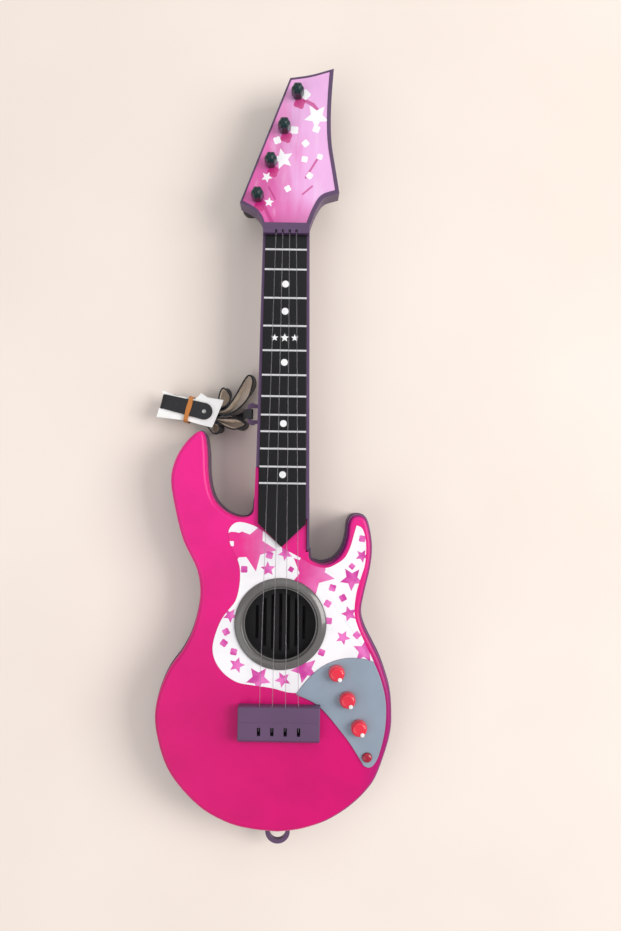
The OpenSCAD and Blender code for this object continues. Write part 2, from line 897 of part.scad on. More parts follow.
module battery_box() {
  color(BLACK)
    difference() {
      translate([-bay_w / 2 - bay_wall, bay_y - bay_l / 2 - bay_wall, floor_t])
        cube([bay_w + 2 * bay_wall, bay_l + 2 * bay_wall, bay_top_z + bay_wall - floor_t]);
      translate([-bay_w / 2, bay_y - bay_l / 2, 0])
        cube([bay_w, bay_l, bay_top_z]);
    }
}

module batteries() {
  color([0.85, 0.5, 0.15])
    for (k = [-1 : 1])
      translate([k * cell_pitch, bay_y, 10.7])
        rotate([90, 0, 0])
          rotate(k == 0 ? 180 : 0)
            union() {
              translate([0, 0, -cell_l / 2 + (k == 0 ? 1 : 0)])
                cylinder(h = cell_l - 1, r = cell_r);
              translate([0, 0, k == 0 ? -cell_l / 2 : cell_l / 2 - 1])
                cylinder(h = 1, r = 2.7);
            }
}

module battery_contacts() {
  color([0.8, 0.7, 0.35])
    for (k = [-1 : 1])
      for (s = [-1, 1])
        translate([k * cell_pitch - 4.5, bay_y + s * (bay_l / 2 - 0.6) - 0.5, 5])
          cube([9, 1, 11]);
}

module battery_cover() {
  color(PURPLE)
    difference() {
      translate([-cover_w / 2, cover_end_y, cover_z])
        cube([cover_w, cover_l, cover_t]);
      translate([0, cover_screw_y, cover_z - 1])
        cylinder(h = 2.3, r = 2.7);
      translate([0, cover_screw_y, 0])
        cylinder(h = 10, r = cover_screw_r + 0.02);
      for (k = [0 : 4])
        translate([-12, cover_end_y + 6 + 3 * k, 0])
          cube([24, 1.4, cover_z + 0.6]);
    }
}

module battery_cover_screw() {
  color(STEEL)
    difference() {
      translate([0, cover_screw_y, cover_z + 0.2])
        union() {
          cylinder(h = 1.1, r = 2.6);
          cylinder(h = 11, r = cover_screw_r);
        }
      translate([-1.6, cover_screw_y - 0.35, 0])
        cube([3.2, 0.7, cover_z + 0.8]);
    }
}

module wire_pair(route, ends) {
  for (s = [-1, 1])
    color(s > 0 ? "red" : "black")
      tube(curve([for (p = route) p + s * ends]), wire_r);
}

module speaker_wires() { wire_pair(speaker_wire, [0.8, 0.8, 0]); }
module battery_wires() { wire_pair(battery_wire, [0, 1, 0]); }

// ---------- tuning pegs ----------

module peg(k) {
  translate([peg_at[k][0], peg_at[k][1], 0])
    color([0.05, 0.16, 0.14])
      rotate_extrude()
        polygon(concat(
          [
            [0, 9], [3, 9], [3, head_rim_z + 0.2], [peg_r - 0.5, head_rim_z + 0.2],
            [peg_r, head_rim_z + 2.2]
          ],
          [for (a = [0 : 15 : 90]) [
            peg_r * 0.97 * cos(a),
            head_rim_z + peg_h - peg_r * 1.1 + peg_r * 1.1 * sin(a)
          ]]
        ));
}

module tuning_peg_1() { peg(0); }
module tuning_peg_2() { peg(1); }
module tuning_peg_3() { peg(2); }
module tuning_peg_4() { peg(3); }

module key(k) {
  translate([peg_at[k][0], peg_at[k][1], 7])
    rotate(key_angle[k])
      color(BLACK)
        difference() {
          union() {
            linear_extrude(9)
              union() {
                translate([-6.5, -6.5])
                  square([13, 13]);
                translate([6.5, 0])
                  circle(r = 6.5);
                translate([-6.5, 0])
                  circle(r = 6.5);
              }
            cylinder(h = head_base_z - 8.3, r = 5);
          }
          translate([0, 0, 2])
            cylinder(h = 20, r = 3);
        }
}

module peg_key_1() { key(0); }
module peg_key_2() { key(1); }
module peg_key_3() { key(2); }
module peg_key_4() { key(3); }

// ---------- strap and its fittings ----------

module strap_ring() {
  color(PURPLE)
    difference() {
      union() {
        intersection() {
          translate([0, strap_ring_y, strap_ring_z])
            cylinder(h = strap_ring_t, r = strap_ring_r, $fn = 96);
          translate([-20, -200, 0])
            cube([40, 200 - 158.7, 40]);
        }
        // Stem through the wall, and the plate that holds it from inside
        translate([-4, -159, strap_ring_z - 0.5])
          cube([8, 6, strap_ring_t + 1]);
        translate([-6.5, -154.8, strap_ring_z - 2])
          cube([13, 2.4, strap_ring_t + 4]);
      }
      translate([0, strap_ring_y, 0])
        cylinder(h = FAR, r = strap_ring_hole_r, $fn = 96);
    }
}

module neck_lug() {
  color(PURPLE)
    difference() {
      translate([0, 0, 31])
        linear_extrude(4)
          difference() {
            union() {
              translate([-25, 151.6])
                square([8, 14.8]);
              translate([-24, 154.1])
                circle(r = 3.5);
              translate([-24, 163.9])
                circle(r = 3.5);
              translate([-27.5, 154.1])
                square([4, 9.8]);
            }
            translate([-24.8, 154.3])
              square([6.5, 9.4]);
          }
      neck_form(0);
    }
}

module strap() {
  color(BLACK) {
    translate([0, 0, strap_z])
      linear_extrude(strap_w)
        polygon(band(strap_path, strap_t));
    // The end that climbs to the neck lug and wraps its bar
    translate([0, 162.8, 0])
      rotate([90, 0, 0])
        linear_extrude(7.6)
          difference() {
            polygon([
              [-32, strap_z + 4], [-31.5, 30], [-29.2, 36.6], [-23.4, 36.6], [-23.4, 29.4],
              [-28.6, 29.4], [-30.6, strap_z + 4]
            ]);
            polygon([[-27.8, 30.7], [-27.8, 35.3], [-24.5, 35.3], [-24.5, 30.7]]);
          }
    // The end that turns up over the card and lies on it
    rotate_in_pack()
      difference() {
        union() {
          translate([turn_t, tab_side - turn_w / 2, strap_z + 8])
            cube([strap_t, turn_w, tab_z + strap_t - strap_z - 8]);
          translate([turn_t, layer_at[8] - 1, strap_z + 8])
            cube([strap_t, 4.5, 5]);
          translate([0, 0, tab_z])
            linear_extrude(strap_t)
              union() {
                polygon([
                  [turn_t, tab_side - turn_w / 2], [-tab_end, tab_side - tab_r],
                  [-tab_end, tab_side + tab_r], [turn_t, tab_side + turn_w / 2]
                ]);
                translate([-tab_end, tab_side])
                  circle(r = tab_r);
              }
        }
        translate([-tab_end, tab_side, 0])
          cylinder(h = FAR, r = tab_hole_r);
      }
  }
}

module rotate_in_pack() {
  translate([pack_end[0], pack_end[1], 0])
    rotate(pack_turn)
      children();
}

module strap_card() {
  color([0.97, 0.97, 0.96])
    slab(card_z, card_z + card_t)
      difference() {
        polygon([
          [-95.3, 177.8], [-87.3, 174.6], [-76.2, 172.6], [-69.7, 171.5], [-65.1, 176], [-59.8, 172.8],
          [-47.4, 170.8], [-56.2, 149.2], [-64.1, 151.1], [-77.2, 154.6], [-99.6, 156.8]
        ]);
        // Notch where the strap turns up round the card's end
        translate(pack_end)
          rotate(pack_turn)
            translate([turn_t - 9, tab_side - turn_w / 2 - 0.3])
              square([9 + strap_t + 0.3, turn_w + 0.6]);
      }
}

module rubber_band() {
  low_z = 0.4;
  high_z = tab_z + strap_t + 0.3;
  near_w = -9.8;
  open_w = 18.9;
  color([0.85, 0.55, 0.25])
    rotate_in_pack()
      translate([-22.6, 0, 0])
        difference() {
          translate([-band_w / 2, near_w - band_t, low_z])
            cube([band_w, open_w + 2 * band_t, high_z + band_t - low_z]);
          translate([-band_w, near_w, low_z + band_t])
            cube([2 * band_w, open_w, high_z - low_z - band_t]);
        }
}

// ---------- fasteners ----------

module case_screws() {
  color(STEEL)
    for (p = screw_at)
      translate([p[0], p[1], 0])
        screw(screw_top_z);
}

module neck_screws() {
  color(STEEL)
    for (p = neck_screw_at)
      translate([p[0], p[1], 0])
        screw(screw_top_z);
}

// ---------- drawing ----------

body_front();
body_back();
neck();
headstock_face();
nut();
fingerboard();
frets();
fret_dots();
fret_motif();
string_1();
string_2();
string_3();
string_4();
string_clamp();
bridge();
string_bar();
star_plate();
sound_hole_ring();
sound_cup();
speaker_frame();
speaker_cone();
speaker_magnet();
control_panel();
knob_1();
knob_2();
knob_3();
knob_pointer_1();
knob_pointer_2();
knob_pointer_3();
pot_shaft_1();
pot_shaft_2();
pot_shaft_3();
potentiometers();
push_button();
button_spring();
button_switch();
circuit_board();
board_parts();
battery_box();
batteries();
battery_contacts();
battery_cover();
battery_cover_screw();
tuning_peg_1();
tuning_peg_2();
tuning_peg_3();
tuning_peg_4();
peg_key_1();
peg_key_2();
peg_key_3();
peg_key_4();
strap_ring();
neck_lug();
strap();
strap_card();
rubber_band();
speaker_wires();
battery_wires();
case_screws();
neck_screws();
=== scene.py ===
"""Looks of a toy electric guitar that lies on its back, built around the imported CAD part."""

import json
import math

import bmesh
import bpy
from mathutils import Matrix, Vector


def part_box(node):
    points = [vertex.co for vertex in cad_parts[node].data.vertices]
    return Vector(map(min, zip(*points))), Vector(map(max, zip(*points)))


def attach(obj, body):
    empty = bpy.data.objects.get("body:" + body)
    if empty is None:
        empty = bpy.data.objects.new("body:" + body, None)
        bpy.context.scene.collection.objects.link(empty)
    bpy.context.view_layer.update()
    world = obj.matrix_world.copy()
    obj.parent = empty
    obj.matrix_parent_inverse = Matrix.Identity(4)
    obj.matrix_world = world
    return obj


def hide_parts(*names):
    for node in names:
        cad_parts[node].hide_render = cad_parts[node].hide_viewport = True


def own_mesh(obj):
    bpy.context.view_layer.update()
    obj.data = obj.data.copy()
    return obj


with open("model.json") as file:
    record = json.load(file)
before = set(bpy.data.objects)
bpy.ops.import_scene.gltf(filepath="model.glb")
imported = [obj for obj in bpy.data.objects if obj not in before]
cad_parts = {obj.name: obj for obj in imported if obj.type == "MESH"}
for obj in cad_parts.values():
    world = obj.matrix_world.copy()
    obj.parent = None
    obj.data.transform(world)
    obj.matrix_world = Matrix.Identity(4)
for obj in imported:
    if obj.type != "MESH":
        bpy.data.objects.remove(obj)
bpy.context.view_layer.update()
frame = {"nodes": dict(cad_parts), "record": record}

MM = 0.001
UP = Vector((0, 0, 1))
record = frame["record"]
body_of = {n: b for b, nodes in record["behaviour"]["bodies"].items() for n in nodes}
slot_of = {part["node"]: part["material_slot"] for part in record["subparts"]}
materials = {}


def box_mm(node):
    """The low and high corners of a CAD node's box, in millimetres."""
    return [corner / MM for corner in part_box(node)]


def middle(node):
    """The middle of a CAD node's box, in millimetres."""
    low, high = box_mm(node)
    return (low + high) / 2


# ---------- shader helpers ----------


def srgb(red, green, blue):
    """A screen colour of 0 to 255 as a linear colour."""

    def linear(value):
        value /= 255
        return value / 12.92 if value < 0.04045 else ((value + 0.055) / 1.055) ** 2.4

    return (linear(red), linear(green), linear(blue), 1.0)


class Tree:
    """Short calls that add nodes to a node tree. Lengths in it are millimetres."""

    def __init__(self, tree):
        self.tree = tree

    def node(self, kind, inputs=None, output=0, **settings):
        made = self.tree.nodes.new("ShaderNode" + kind)
        for name, value in settings.items():
            setattr(made, name, value)
        for name, value in (inputs or {}).items():
            if isinstance(value, bpy.types.NodeSocket):
                self.tree.links.new(value, made.inputs[name])
            else:
                made.inputs[name].default_value = value
        return made.outputs[output]

    def math(self, operation, a, b=0.0, clamp=False):
        return self.node("Math", {0: a, 1: b}, operation=operation, use_clamp=clamp)

    def plus(self, a, b):
        return self.math("ADD", a, b)

    def minus(self, a, b):
        return self.math("SUBTRACT", a, b)

    def times(self, a, b, clamp=False):
        return self.math("MULTIPLY", a, b, clamp)

    def vector(self, operation, a, b=(0, 0, 0), output=0):
        return self.node("VectorMath", {0: a, 1: b}, output, operation=operation)

    def place(self):
        """Where the surface is in the piece's own frame, in millimetres."""
        own = self.node("TexCoord", output="Object")
        return self.vector("MULTIPLY", own, (1000, 1000, 1000))

    def axis(self, place, letter):
        return self.node("SeparateXYZ", {0: place}, letter)

    def noise(self, place, scale, detail=3.0, stretch=(1, 1, 1)):
        stretched = self.vector("MULTIPLY", place, stretch)
        return self.node("TexNoise", {"Vector": stretched, "Scale": scale, "Detail": detail})

    def ramp(self, value, low, high, start=0.0, end=1.0):
        """Runs smoothly from start to end as value goes from low to high."""
        sockets = {0: value, 1: low, 2: high, 3: start, 4: end}
        return self.node("MapRange", sockets, interpolation_type="SMOOTHSTEP")

    def mix(self, share, a, b):
        made = self.tree.nodes.new("ShaderNodeMix")
        made.data_type = "RGBA"
        for index, value in ((0, share), (6, a), (7, b)):
            if isinstance(value, bpy.types.NodeSocket):
                self.tree.links.new(value, made.inputs[index])
            else:
                made.inputs[index].default_value = value
        return made.outputs[2]


class Surface(Tree):
    """A material with one principled shader, kept in materials under its name."""

    def __init__(self, name):
        self.material = bpy.data.materials.new(name)
        self.material.use_nodes = True
        materials[name] = self.material
        super().__init__(self.material.node_tree)
        self.tree.nodes.clear()
        self.shader = self.tree.nodes.new("ShaderNodeBsdfPrincipled")
        out = self.tree.nodes.new("ShaderNodeOutputMaterial")
        self.tree.links.new(self.shader.outputs[0], out.inputs[0])
        self.at = self.place()
        self.x, self.y, self.z = (self.axis(self.at, letter) for letter in "XYZ")

    def put(self, **sockets):
        """Sets or links the shader's sockets, with _ for a space in a name."""
        for name, value in sockets.items():
            socket = self.shader.inputs[name.replace("_", " ")]
            if isinstance(value, bpy.types.NodeSocket):
                self.tree.links.new(value, socket)
            else:
                socket.default_value = value
        return self

    def finish(self, colour, rough, wear=0.05, grain=1.2, relief=0.02, **more):
        """Colour with slight mottling, uneven gloss and a fine moulded grain."""
        cloud = self.noise(self.at, 0.03, 4)
        speck = self.noise(self.at, grain, 2)
        darker = self.vector("MULTIPLY", colour, (0.9, 0.9, 0.9))
        tone = self.mix(self.ramp(cloud, 0.35, 0.7), colour, darker)
        gloss = self.plus(self.times(cloud, wear * 2), rough - wear)
        bumps = self.node("Bump", {"Strength": 0.35, "Distance": relief * MM, "Height": speck})
        return self.put(Base_Color=tone, Roughness=gloss, Normal=bumps, **more)


def mark_group(name, star):
    """A node group that draws one printed star, or one rounded dot, in the XY plane."""
    group = bpy.data.node_groups.new(name, "ShaderNodeTree")
    sockets = {"Place": "Vector", "Centre": "Vector", "Radius": "Float", "Turn": "Float"}
    for socket, kind in sockets.items():
        group.interface.new_socket(socket, in_out="INPUT", socket_type="NodeSocket" + kind)
    group.interface.new_socket("Inside", in_out="OUTPUT", socket_type="NodeSocketFloat")
    t = Tree(group)
    given = group.nodes.new("NodeGroupInput").outputs
    flat = t.vector("MULTIPLY", t.vector("SUBTRACT", given["Place"], given["Centre"]), (1, 1, 0))
    reach = t.vector("LENGTH", flat, output="Value")
    angle = t.math("ARCTAN2", t.axis(flat, "Y"), t.axis(flat, "X"))
    angle = t.plus(angle, given["Turn"])
    if star:
        inner, fold = 0.47, math.pi / 5
        across, along = inner * math.sin(fold), 1 - inner * math.cos(fold)
        turn = t.math("PINGPONG", angle, fold)
        side = t.plus(t.times(t.math("COSINE", turn), across), t.times(t.math("SINE", turn), along))
        edge = t.times(given["Radius"], across)
        depth = t.minus(edge, t.times(reach, side))
        sharp = 9.0
    else:
        wave = t.times(t.math("COSINE", t.times(angle, 4)), 0.12)
        edge = t.times(given["Radius"], t.minus(1.0, wave))
        depth = t.minus(edge, reach)
        sharp = 4.0
    inside = t.times(depth, sharp, clamp=True)
    out = group.nodes.new("NodeGroupOutput")
    group.links.new(inside, out.inputs[0])
    return group


STAR = mark_group("printed_star", True)
DOT = mark_group("printed_dot", False)


def streaks(surface, rows, sharp=1.6):
    """How far a point is inside any of the strokes in rows of (x, y, x, y, half width)."""
    found = None
    for x0, y0, x1, y1, width in rows:
        along = (x1 - x0, y1 - y0, 0)
        away = surface.vector("MULTIPLY", surface.vector("SUBTRACT", surface.at, (x0, y0, 0)), (1, 1, 0))
        dot = surface.vector("DOT_PRODUCT", away, along, output="Value")
        share = surface.math("DIVIDE", dot, along[0] ** 2 + along[1] ** 2, clamp=True)
        near = surface.node("VectorMath", {0: along, "Scale": share}, operation="SCALE")
        reach = surface.vector("LENGTH", surface.vector("SUBTRACT", away, near), output="Value")
        mark = surface.times(surface.minus(width, reach), sharp, clamp=True)
        found = mark if found is None else surface.math("MAXIMUM", found, mark)
    return found


def marks(surface, group, rows):
    """How far a point is inside any of the marks in rows of (x, y, radius, turn in degrees)."""
    found = None
    for x, y, radius, turn in rows:
        made = surface.tree.nodes.new("ShaderNodeGroup")
        made.node_tree = group
        surface.tree.links.new(surface.at, made.inputs["Place"])
        made.inputs["Centre"].default_value = (x, y, 0)
        made.inputs["Radius"].default_value = radius
        made.inputs["Turn"].default_value = math.radians(turn)
        mark = made.outputs[0]
        found = mark if found is None else surface.math("MAXIMUM", found, mark)
    return found


# ---------- materials ----------

# The shell's pink with painted light and shade: the lit colour at the top and the shaded colour at the
# foot.
PINK_PAINTED_LIT = srgb(238, 34, 140)
PINK_PAINTED_SHADE = srgb(214, 2, 112)
PURPLE = srgb(98, 70, 104)


def plain(slot, colour, rough, **more):
    """A moulded, metal or card surface of one colour."""
    surface = Surface(slot)
    surface.finish(surface.mix(0.0, colour, colour), rough, **more)


plain("purple_shell", PURPLE, 0.42, grain=1.6, relief=0.03)
plain("purple_neck", srgb(92, 66, 102), 0.42, grain=1.6, relief=0.03)
plain("black_board", srgb(20, 19, 22), 0.4, grain=0.9, relief=0.02, Specular_IOR_Level=0.3)
plain("fret_silver", srgb(226, 226, 228), 0.35, grain=2.5, relief=0.01, Metallic=0.1)
plain("white_print", srgb(253, 253, 252), 0.35, grain=2.0, relief=0.01)
plain("plain_steel", srgb(176, 178, 182), 0.32, grain=2.0, relief=0.01, Metallic=1.0)
plain("gunmetal_ring", srgb(98, 95, 93), 0.24, grain=0.8, relief=0.03, Coat_Weight=0.6)
plain("black_plastic", srgb(20, 18, 21), 0.5, grain=1.5, relief=0.03)
plain("cup_black", srgb(13, 11, 14), 0.6, grain=1.5, relief=0.03, Specular_IOR_Level=0.3)
plain("speaker_metal", srgb(60, 60, 64), 0.4, grain=1.5, relief=0.03, Metallic=0.6)
plain("speaker_paper", srgb(26, 26, 28), 0.85, grain=2.5, relief=0.08)
plain("magnet_iron", srgb(88, 86, 84), 0.6, grain=2.0, relief=0.05)
plain("grey_panel", srgb(146, 160, 175), 0.42, grain=1.4, relief=0.02)
plain("red_knob", srgb(235, 38, 66), 0.22, grain=1.0, relief=0.01, Coat_Weight=0.5)
plain("red_button", srgb(166, 12, 48), 0.28, grain=1.0, relief=0.01, Coat_Weight=0.3)
plain("white_pointer", srgb(244, 242, 238), 0.25, grain=1.0, relief=0.01)
plain("green_board", srgb(20, 92, 52), 0.35, grain=0.8, relief=0.04)
plain("cell_jacket", srgb(190, 120, 40), 0.3, grain=1.0, relief=0.01, Metallic=0.5)
plain("contact_brass", srgb(206, 176, 100), 0.3, grain=2.0, relief=0.01, Metallic=1.0)
plain("peg_green", srgb(16, 46, 48), 0.26, grain=0.6, relief=0.02, Specular_IOR_Level=0.4)
plain("tan_rubber", srgb(196, 122, 54), 0.5, grain=1.8, relief=0.04)
plain("wire_jacket", srgb(150, 30, 34), 0.4, grain=1.5, relief=0.02)
plain("white_card", srgb(253, 253, 251), 0.6, grain=2.2, relief=0.03)


def pink_shell():
    """Glossy magenta with painted light and shade: lighter towards the top, darker towards the foot, and
    painted shade round the lower right edge.
    """
    s = Surface("pink_shell")
    # Painted light and shade: the shell runs from the shaded pink at the foot to the lit pink at the top.
    along = s.ramp(s.y, -110, 120)
    colour = s.mix(along, PINK_PAINTED_SHADE, PINK_PAINTED_LIT)
    # Painted shade: the rounded rim just below the front face darkens towards the right.
    low = s.ramp(s.z, 39.95, 38.2)
    right = s.ramp(s.x, 8, 50)
    edge = s.times(s.times(low, right), 0.92)
    colour = s.mix(edge, colour, srgb(104, 20, 104))
    # Painted shade: the right side of the shell darkens further towards its outer edge.
    side = s.ramp(s.x, 58, 84)
    colour = s.mix(s.times(side, 0.62), colour, srgb(136, 22, 110))
    s.finish(colour, 0.36, grain=1.1, relief=0.02, Specular_IOR_Level=0.3)


def star_print():
    """White sheet with pink stars and dots, whose big stars run into the shell's pink."""
    s = Surface("star_print")
    big = marks(s, STAR, [(-22.5, 58.5, 19.5, 8), (22.5, 37.5, 18.5, 8)])
    blend = marks(s, DOT, [(-34, 62, 8, 0), (-38, 52, 7, 30), (21, 48.5, 7.5, 20), (29, 44, 5, 0)])
    patches = marks(s, DOT, [(-38, 60.3, 2.2, 0), (-35, 75, 6.5, 10), (-29, 75, 4.4, 60)])
    big = s.times(s.math("MAXIMUM", big, blend), s.minus(1.0, patches))
    stars = [(53.5, 35, 9.5, 20), (64, -19.5, 9.5, 60), (19, -34, 11, 30), (-16, -41.5, 10, 90)]
    stars += [(61, 52.5, 5.5, 10), (52, 8.5, 6.5, 36), (47.5, -9.5, 6, 80), (2.5, -42, 6.5, 100)]
    stars += [(-32.5, -31.5, 6.5, 70), (-38, 6, 6, 15), (-10, 41.5, 6, 50), (3, 53.5, 6, 25)]
    dots = [(61, 65.5, 2.8, 10), (53.5, 44.5, 2.4, 40), (39, 28, 2.9, 15), (47, 20.5, 2.9, 60)]
    dots += [(35.5, 16, 2.9, 30), (36.5, 3, 2.9, 5), (58, -7.5, 2.9, 45), (31.5, -21, 2.9, 20)]
    dots += [(-35, -21.5, 2.9, 10), (-42.5, -15, 2.9, 35), (-41, -6.5, 2.9, 60), (-28, 41, 2.9, 0)]
    dots += [(7.5, 41.5, 2.2, 30), (-9, 52, 3.0, 15)]
    few = s.math("MAXIMUM", marks(s, STAR, stars), marks(s, DOT, dots))
    fade = s.noise(s.at, 0.09, 2)
    deep = s.ramp(s.plus(s.x, s.times(fade, 20)), -24, 8)
    first = s.mix(deep, PINK_PAINTED_LIT, srgb(240, 130, 196))
    second = s.ramp(s.plus(s.x, s.times(fade, 30)), 22, 60)
    right = s.mix(second, srgb(232, 40, 146), srgb(240, 130, 196))
    side = s.ramp(s.x, 4, 8)
    star = s.mix(side, first, right)
    little = s.mix(s.ramp(fade, 0.35, 0.65), srgb(208, 56, 158), srgb(240, 122, 200))
    colour = s.mix(big, srgb(250, 247, 250), star)
    colour = s.mix(few, colour, little)
    s.finish(colour, 0.32, grain=1.4, relief=0.01, Coat_Weight=0.2)


def headstock_print():
    """Pink gradient from magenta on the left to lilac on the right, with white stars and a painted shadow
    below each peg.
    """
    s = Surface("headstock_print")
    x, y = s.x, s.y
    streak = s.noise(s.at, 0.16, 3, stretch=(1, 0.25, 1))
    lean = s.plus(x, s.times(s.minus(y, 360.0), 0.12))
    across = s.plus(lean, s.times(s.minus(streak, 0.5), 34))
    colour = s.mix(s.ramp(across, -26, 22), srgb(226, 88, 170), srgb(240, 180, 232))
    low = s.ramp(y, 326, 304)
    colour = s.mix(s.times(low, 0.55), colour, srgb(226, 84, 168))
    wisps = s.ramp(s.noise(s.at, 0.1, 4, stretch=(1, 0.3, 1)), 0.56, 0.72)
    colour = s.mix(s.times(wisps, 0.4), colour, srgb(248, 214, 242))
    # Painted shadow and reflection of each peg: a dark magenta patch just below its foot.
    pegs = [middle(f"tuning_peg_{k}") for k in (1, 2, 3, 4)]
    patches = marks(s, DOT, [(p.x + 1.5, p.y - 6.5, 4.4, 20) for p in pegs])
    colour = s.mix(s.times(patches, 0.85), colour, srgb(206, 24, 122))
    strokes = [(12.5, 397, 19, 393.8, 1.7), (19, 393.8, 23, 389, 1.6), (14, 338.5, 22.5, 352.5, 1.1)]
    strokes += [(-5, 397, -9.5, 388, 1.0), (-14, 331, -9, 322, 1.0), (-24, 330, -10, 302, 1.7)]
    strokes = streaks(s, strokes + [(12, 326, 19, 332, 1.0)])
    colour = s.mix(s.times(strokes, 0.8), colour, srgb(196, 30, 128))
    line = streaks(s, [(8.5, 408, 6, 330, 0.35)], 1.2)
    colour = s.mix(s.times(line, 0.35), colour, srgb(170, 90, 150))
    stars = [(21.5, 385, 10, 20), (-3.5, 352.5, 8.5, 40), (-15.5, 338.5, 4.5, 10), (-13.5, 319.5, 4, 60)]
    dots = [(21.5, 375.5, 3.0, 20), (13.5, 364.5, 2.8, 50), (13, 352.5, 2.6, 10), (17, 340, 2.6, 35)]
    dots += [(0.5, 330, 2.6, 60), (5, 374.5, 3.2, 5), (13, 401.5, 3.6, 45), (-8, 366.5, 3.0, 70)]
    dots += [(24.5, 354.5, 2.4, 15)]
    few = s.math("MAXIMUM", marks(s, STAR, stars), marks(s, DOT, dots))
    colour = s.mix(few, colour, srgb(255, 252, 255))
    s.finish(colour, 0.25, grain=1.2, relief=0.01, Coat_Weight=0.4)


def nylon_string():
    """Clear line: most of what lies behind it shows through."""
    s = Surface("nylon_string")
    wave = s.math("SINE", s.times(s.y, 6.0))
    bump = s.node("Bump", {"Strength": 0.2, "Distance": 0.02 * MM, "Height": wave})
    spots = s.noise(s.at, 0.4, 2)
    colour = s.mix(spots, srgb(206, 200, 204), srgb(228, 224, 228))
    s.put(Base_Color=colour, Roughness=0.3, Normal=bump, Transmission_Weight=0.88, IOR=1.15)


def strap_leather(name, colour, rough, scale):
    """Leatherette grain."""
    s = Surface(name)
    cells = s.node("TexVoronoi", {"Vector": s.at, "Scale": scale}, "Distance")
    spots = s.noise(s.at, 0.25, 4)
    height = s.plus(cells, s.times(spots, 0.6))
    bump = s.node("Bump", {"Strength": 0.6, "Distance": 0.08 * MM, "Height": height})
    lighter = s.vector("MULTIPLY", s.mix(0.0, colour, colour), (1.5, 1.5, 1.5))
    tone = s.mix(s.ramp(spots, 0.4, 0.75), colour, lighter)
    gloss = s.plus(s.times(spots, 0.12), rough)
    s.put(Base_Color=tone, Roughness=gloss, Normal=bump)


pink_shell()
star_print()
headstock_print()
nylon_string()
strap_leather("black_strap", srgb(24, 24, 28), 0.45, 1.1)
strap_leather("strap_backing", srgb(240, 230, 216), 0.85, 2.2)


# ---------- mesh helpers ----------


def placed(name, mesh, slot):
    """A new object that shows the mesh in the slot's material."""
    piece = bpy.data.objects.new(name, mesh)
    bpy.context.scene.collection.objects.link(piece)
    mesh.materials.clear()
    mesh.materials.append(materials[slot])
    return piece


def new_piece(name, points, faces, slot):
    """An object made of points in metres and faces that list them."""
    mesh = bpy.data.meshes.new(name)
    mesh.from_pydata([tuple(p) for p in points], [], faces)
    mesh.update()
    return placed(name, mesh, slot)


def cad_mesh(node):
    """The CAD node's mesh for editing, with its doubled corners joined."""
    bm = bmesh.new()
    bm.from_mesh(frame["nodes"][node].data)
    bmesh.ops.remove_doubles(bm, verts=bm.verts, dist=2e-6)
    return bm


def tidy_normals(piece):
    """Turns all the faces outwards."""
    bm = bmesh.new()
    bm.from_mesh(piece.data)
    bmesh.ops.recalc_face_normals(bm, faces=bm.faces)
    bm.to_mesh(piece.data)
    bm.free()


def freeze(piece):
    """Applies the piece's modifiers."""
    graph = bpy.context.evaluated_depsgraph_get()
    mesh = bpy.data.meshes.new_from_object(piece.evaluated_get(graph), depsgraph=graph)
    piece.modifiers.clear()
    piece.data = mesh


def cut(piece, *cutters):
    """Takes the cutters out of the piece."""
    for cutter in cutters:
        step = piece.modifiers.new("cut", "BOOLEAN")
        step.operation = "DIFFERENCE"
        step.solver = "EXACT"
        step.object = cutter
    freeze(piece)
    for cutter in cutters:
        bpy.data.objects.remove(cutter)


def smooth(piece, angle):
    """Smooth shading that keeps edges sharper than the angle, weighted by face size."""
    piece.data.shade_smooth()
    piece.data.set_sharp_from_angle(angle=math.radians(angle))
    step = piece.modifiers.new("even_shading", "WEIGHTED_NORMAL")
    step.keep_sharp = True
    step.weight = 80


def stand_in(piece, node, angle):
    """The piece, shaded smooth, rides with its CAD node's body and is shown in its place."""
    smooth(piece, angle)
    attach(piece, body_of[node])
    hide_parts(node)
    return piece


def refined(node, bevel, segments=3, angle=32):
    """The CAD node's own shape with its edges rounded by bevel millimetres."""
    bm = cad_mesh(node)
    bmesh.ops.dissolve_limit(bm, angle_limit=math.radians(0.5), verts=bm.verts, edges=bm.edges)
    mesh = bpy.data.meshes.new(node + "_skin")
    bm.to_mesh(mesh)
    bm.free()
    piece = placed(node + "_skin", mesh, slot_of[node])
    step = piece.modifiers.new("edges", "BEVEL")
    step.width = bevel * MM
    step.segments = segments
    step.limit_method = "ANGLE"
    step.angle_limit = math.radians(angle)
    step.miter_outer = "MITER_ARC"
    freeze(piece)
    return stand_in(piece, node, 32)


def section(node, height):
    """The CAD node's outlines at a height in millimetres, as rings of 2D points in metres,
    anticlockwise, the largest first."""
    bm = cad_mesh(node)
    everything = bm.verts[:] + bm.edges[:] + bm.faces[:]
    made = bmesh.ops.bisect_plane(bm, geom=everything, plane_co=(0, 0, height * MM), plane_no=UP)
    left = {e for e in made["geom_cut"] if isinstance(e, bmesh.types.BMEdge)}
    rings = []
    while left:
        first = left.pop()
        ring = [first.verts[0], first.verts[1]]
        while True:
            following = next((e for e in ring[-1].link_edges if e in left), None)
            if following is None:
                break
            left.discard(following)
            ring.append(following.other_vert(ring[-1]))
        flat = [Vector((v.co.x, v.co.y)) for v in ring[:-1]]
        rings.append(without_straights(flat))
    bm.free()
    rings = [r if area(r) > 0 else r[::-1] for r in rings]
    starts = [min(range(len(r)), key=lambda i: (round(r[i].x, 6), r[i].y)) for r in rings]
    rings = [r[k:] + r[:k] for r, k in zip(rings, starts)]
    return sorted(rings, key=area, reverse=True)


def area(ring):
    """The area inside a ring, above 0 when it runs anticlockwise."""
    return sum(a.x * b.y - b.x * a.y for a, b in zip(ring, ring[1:] + ring[:1])) / 2


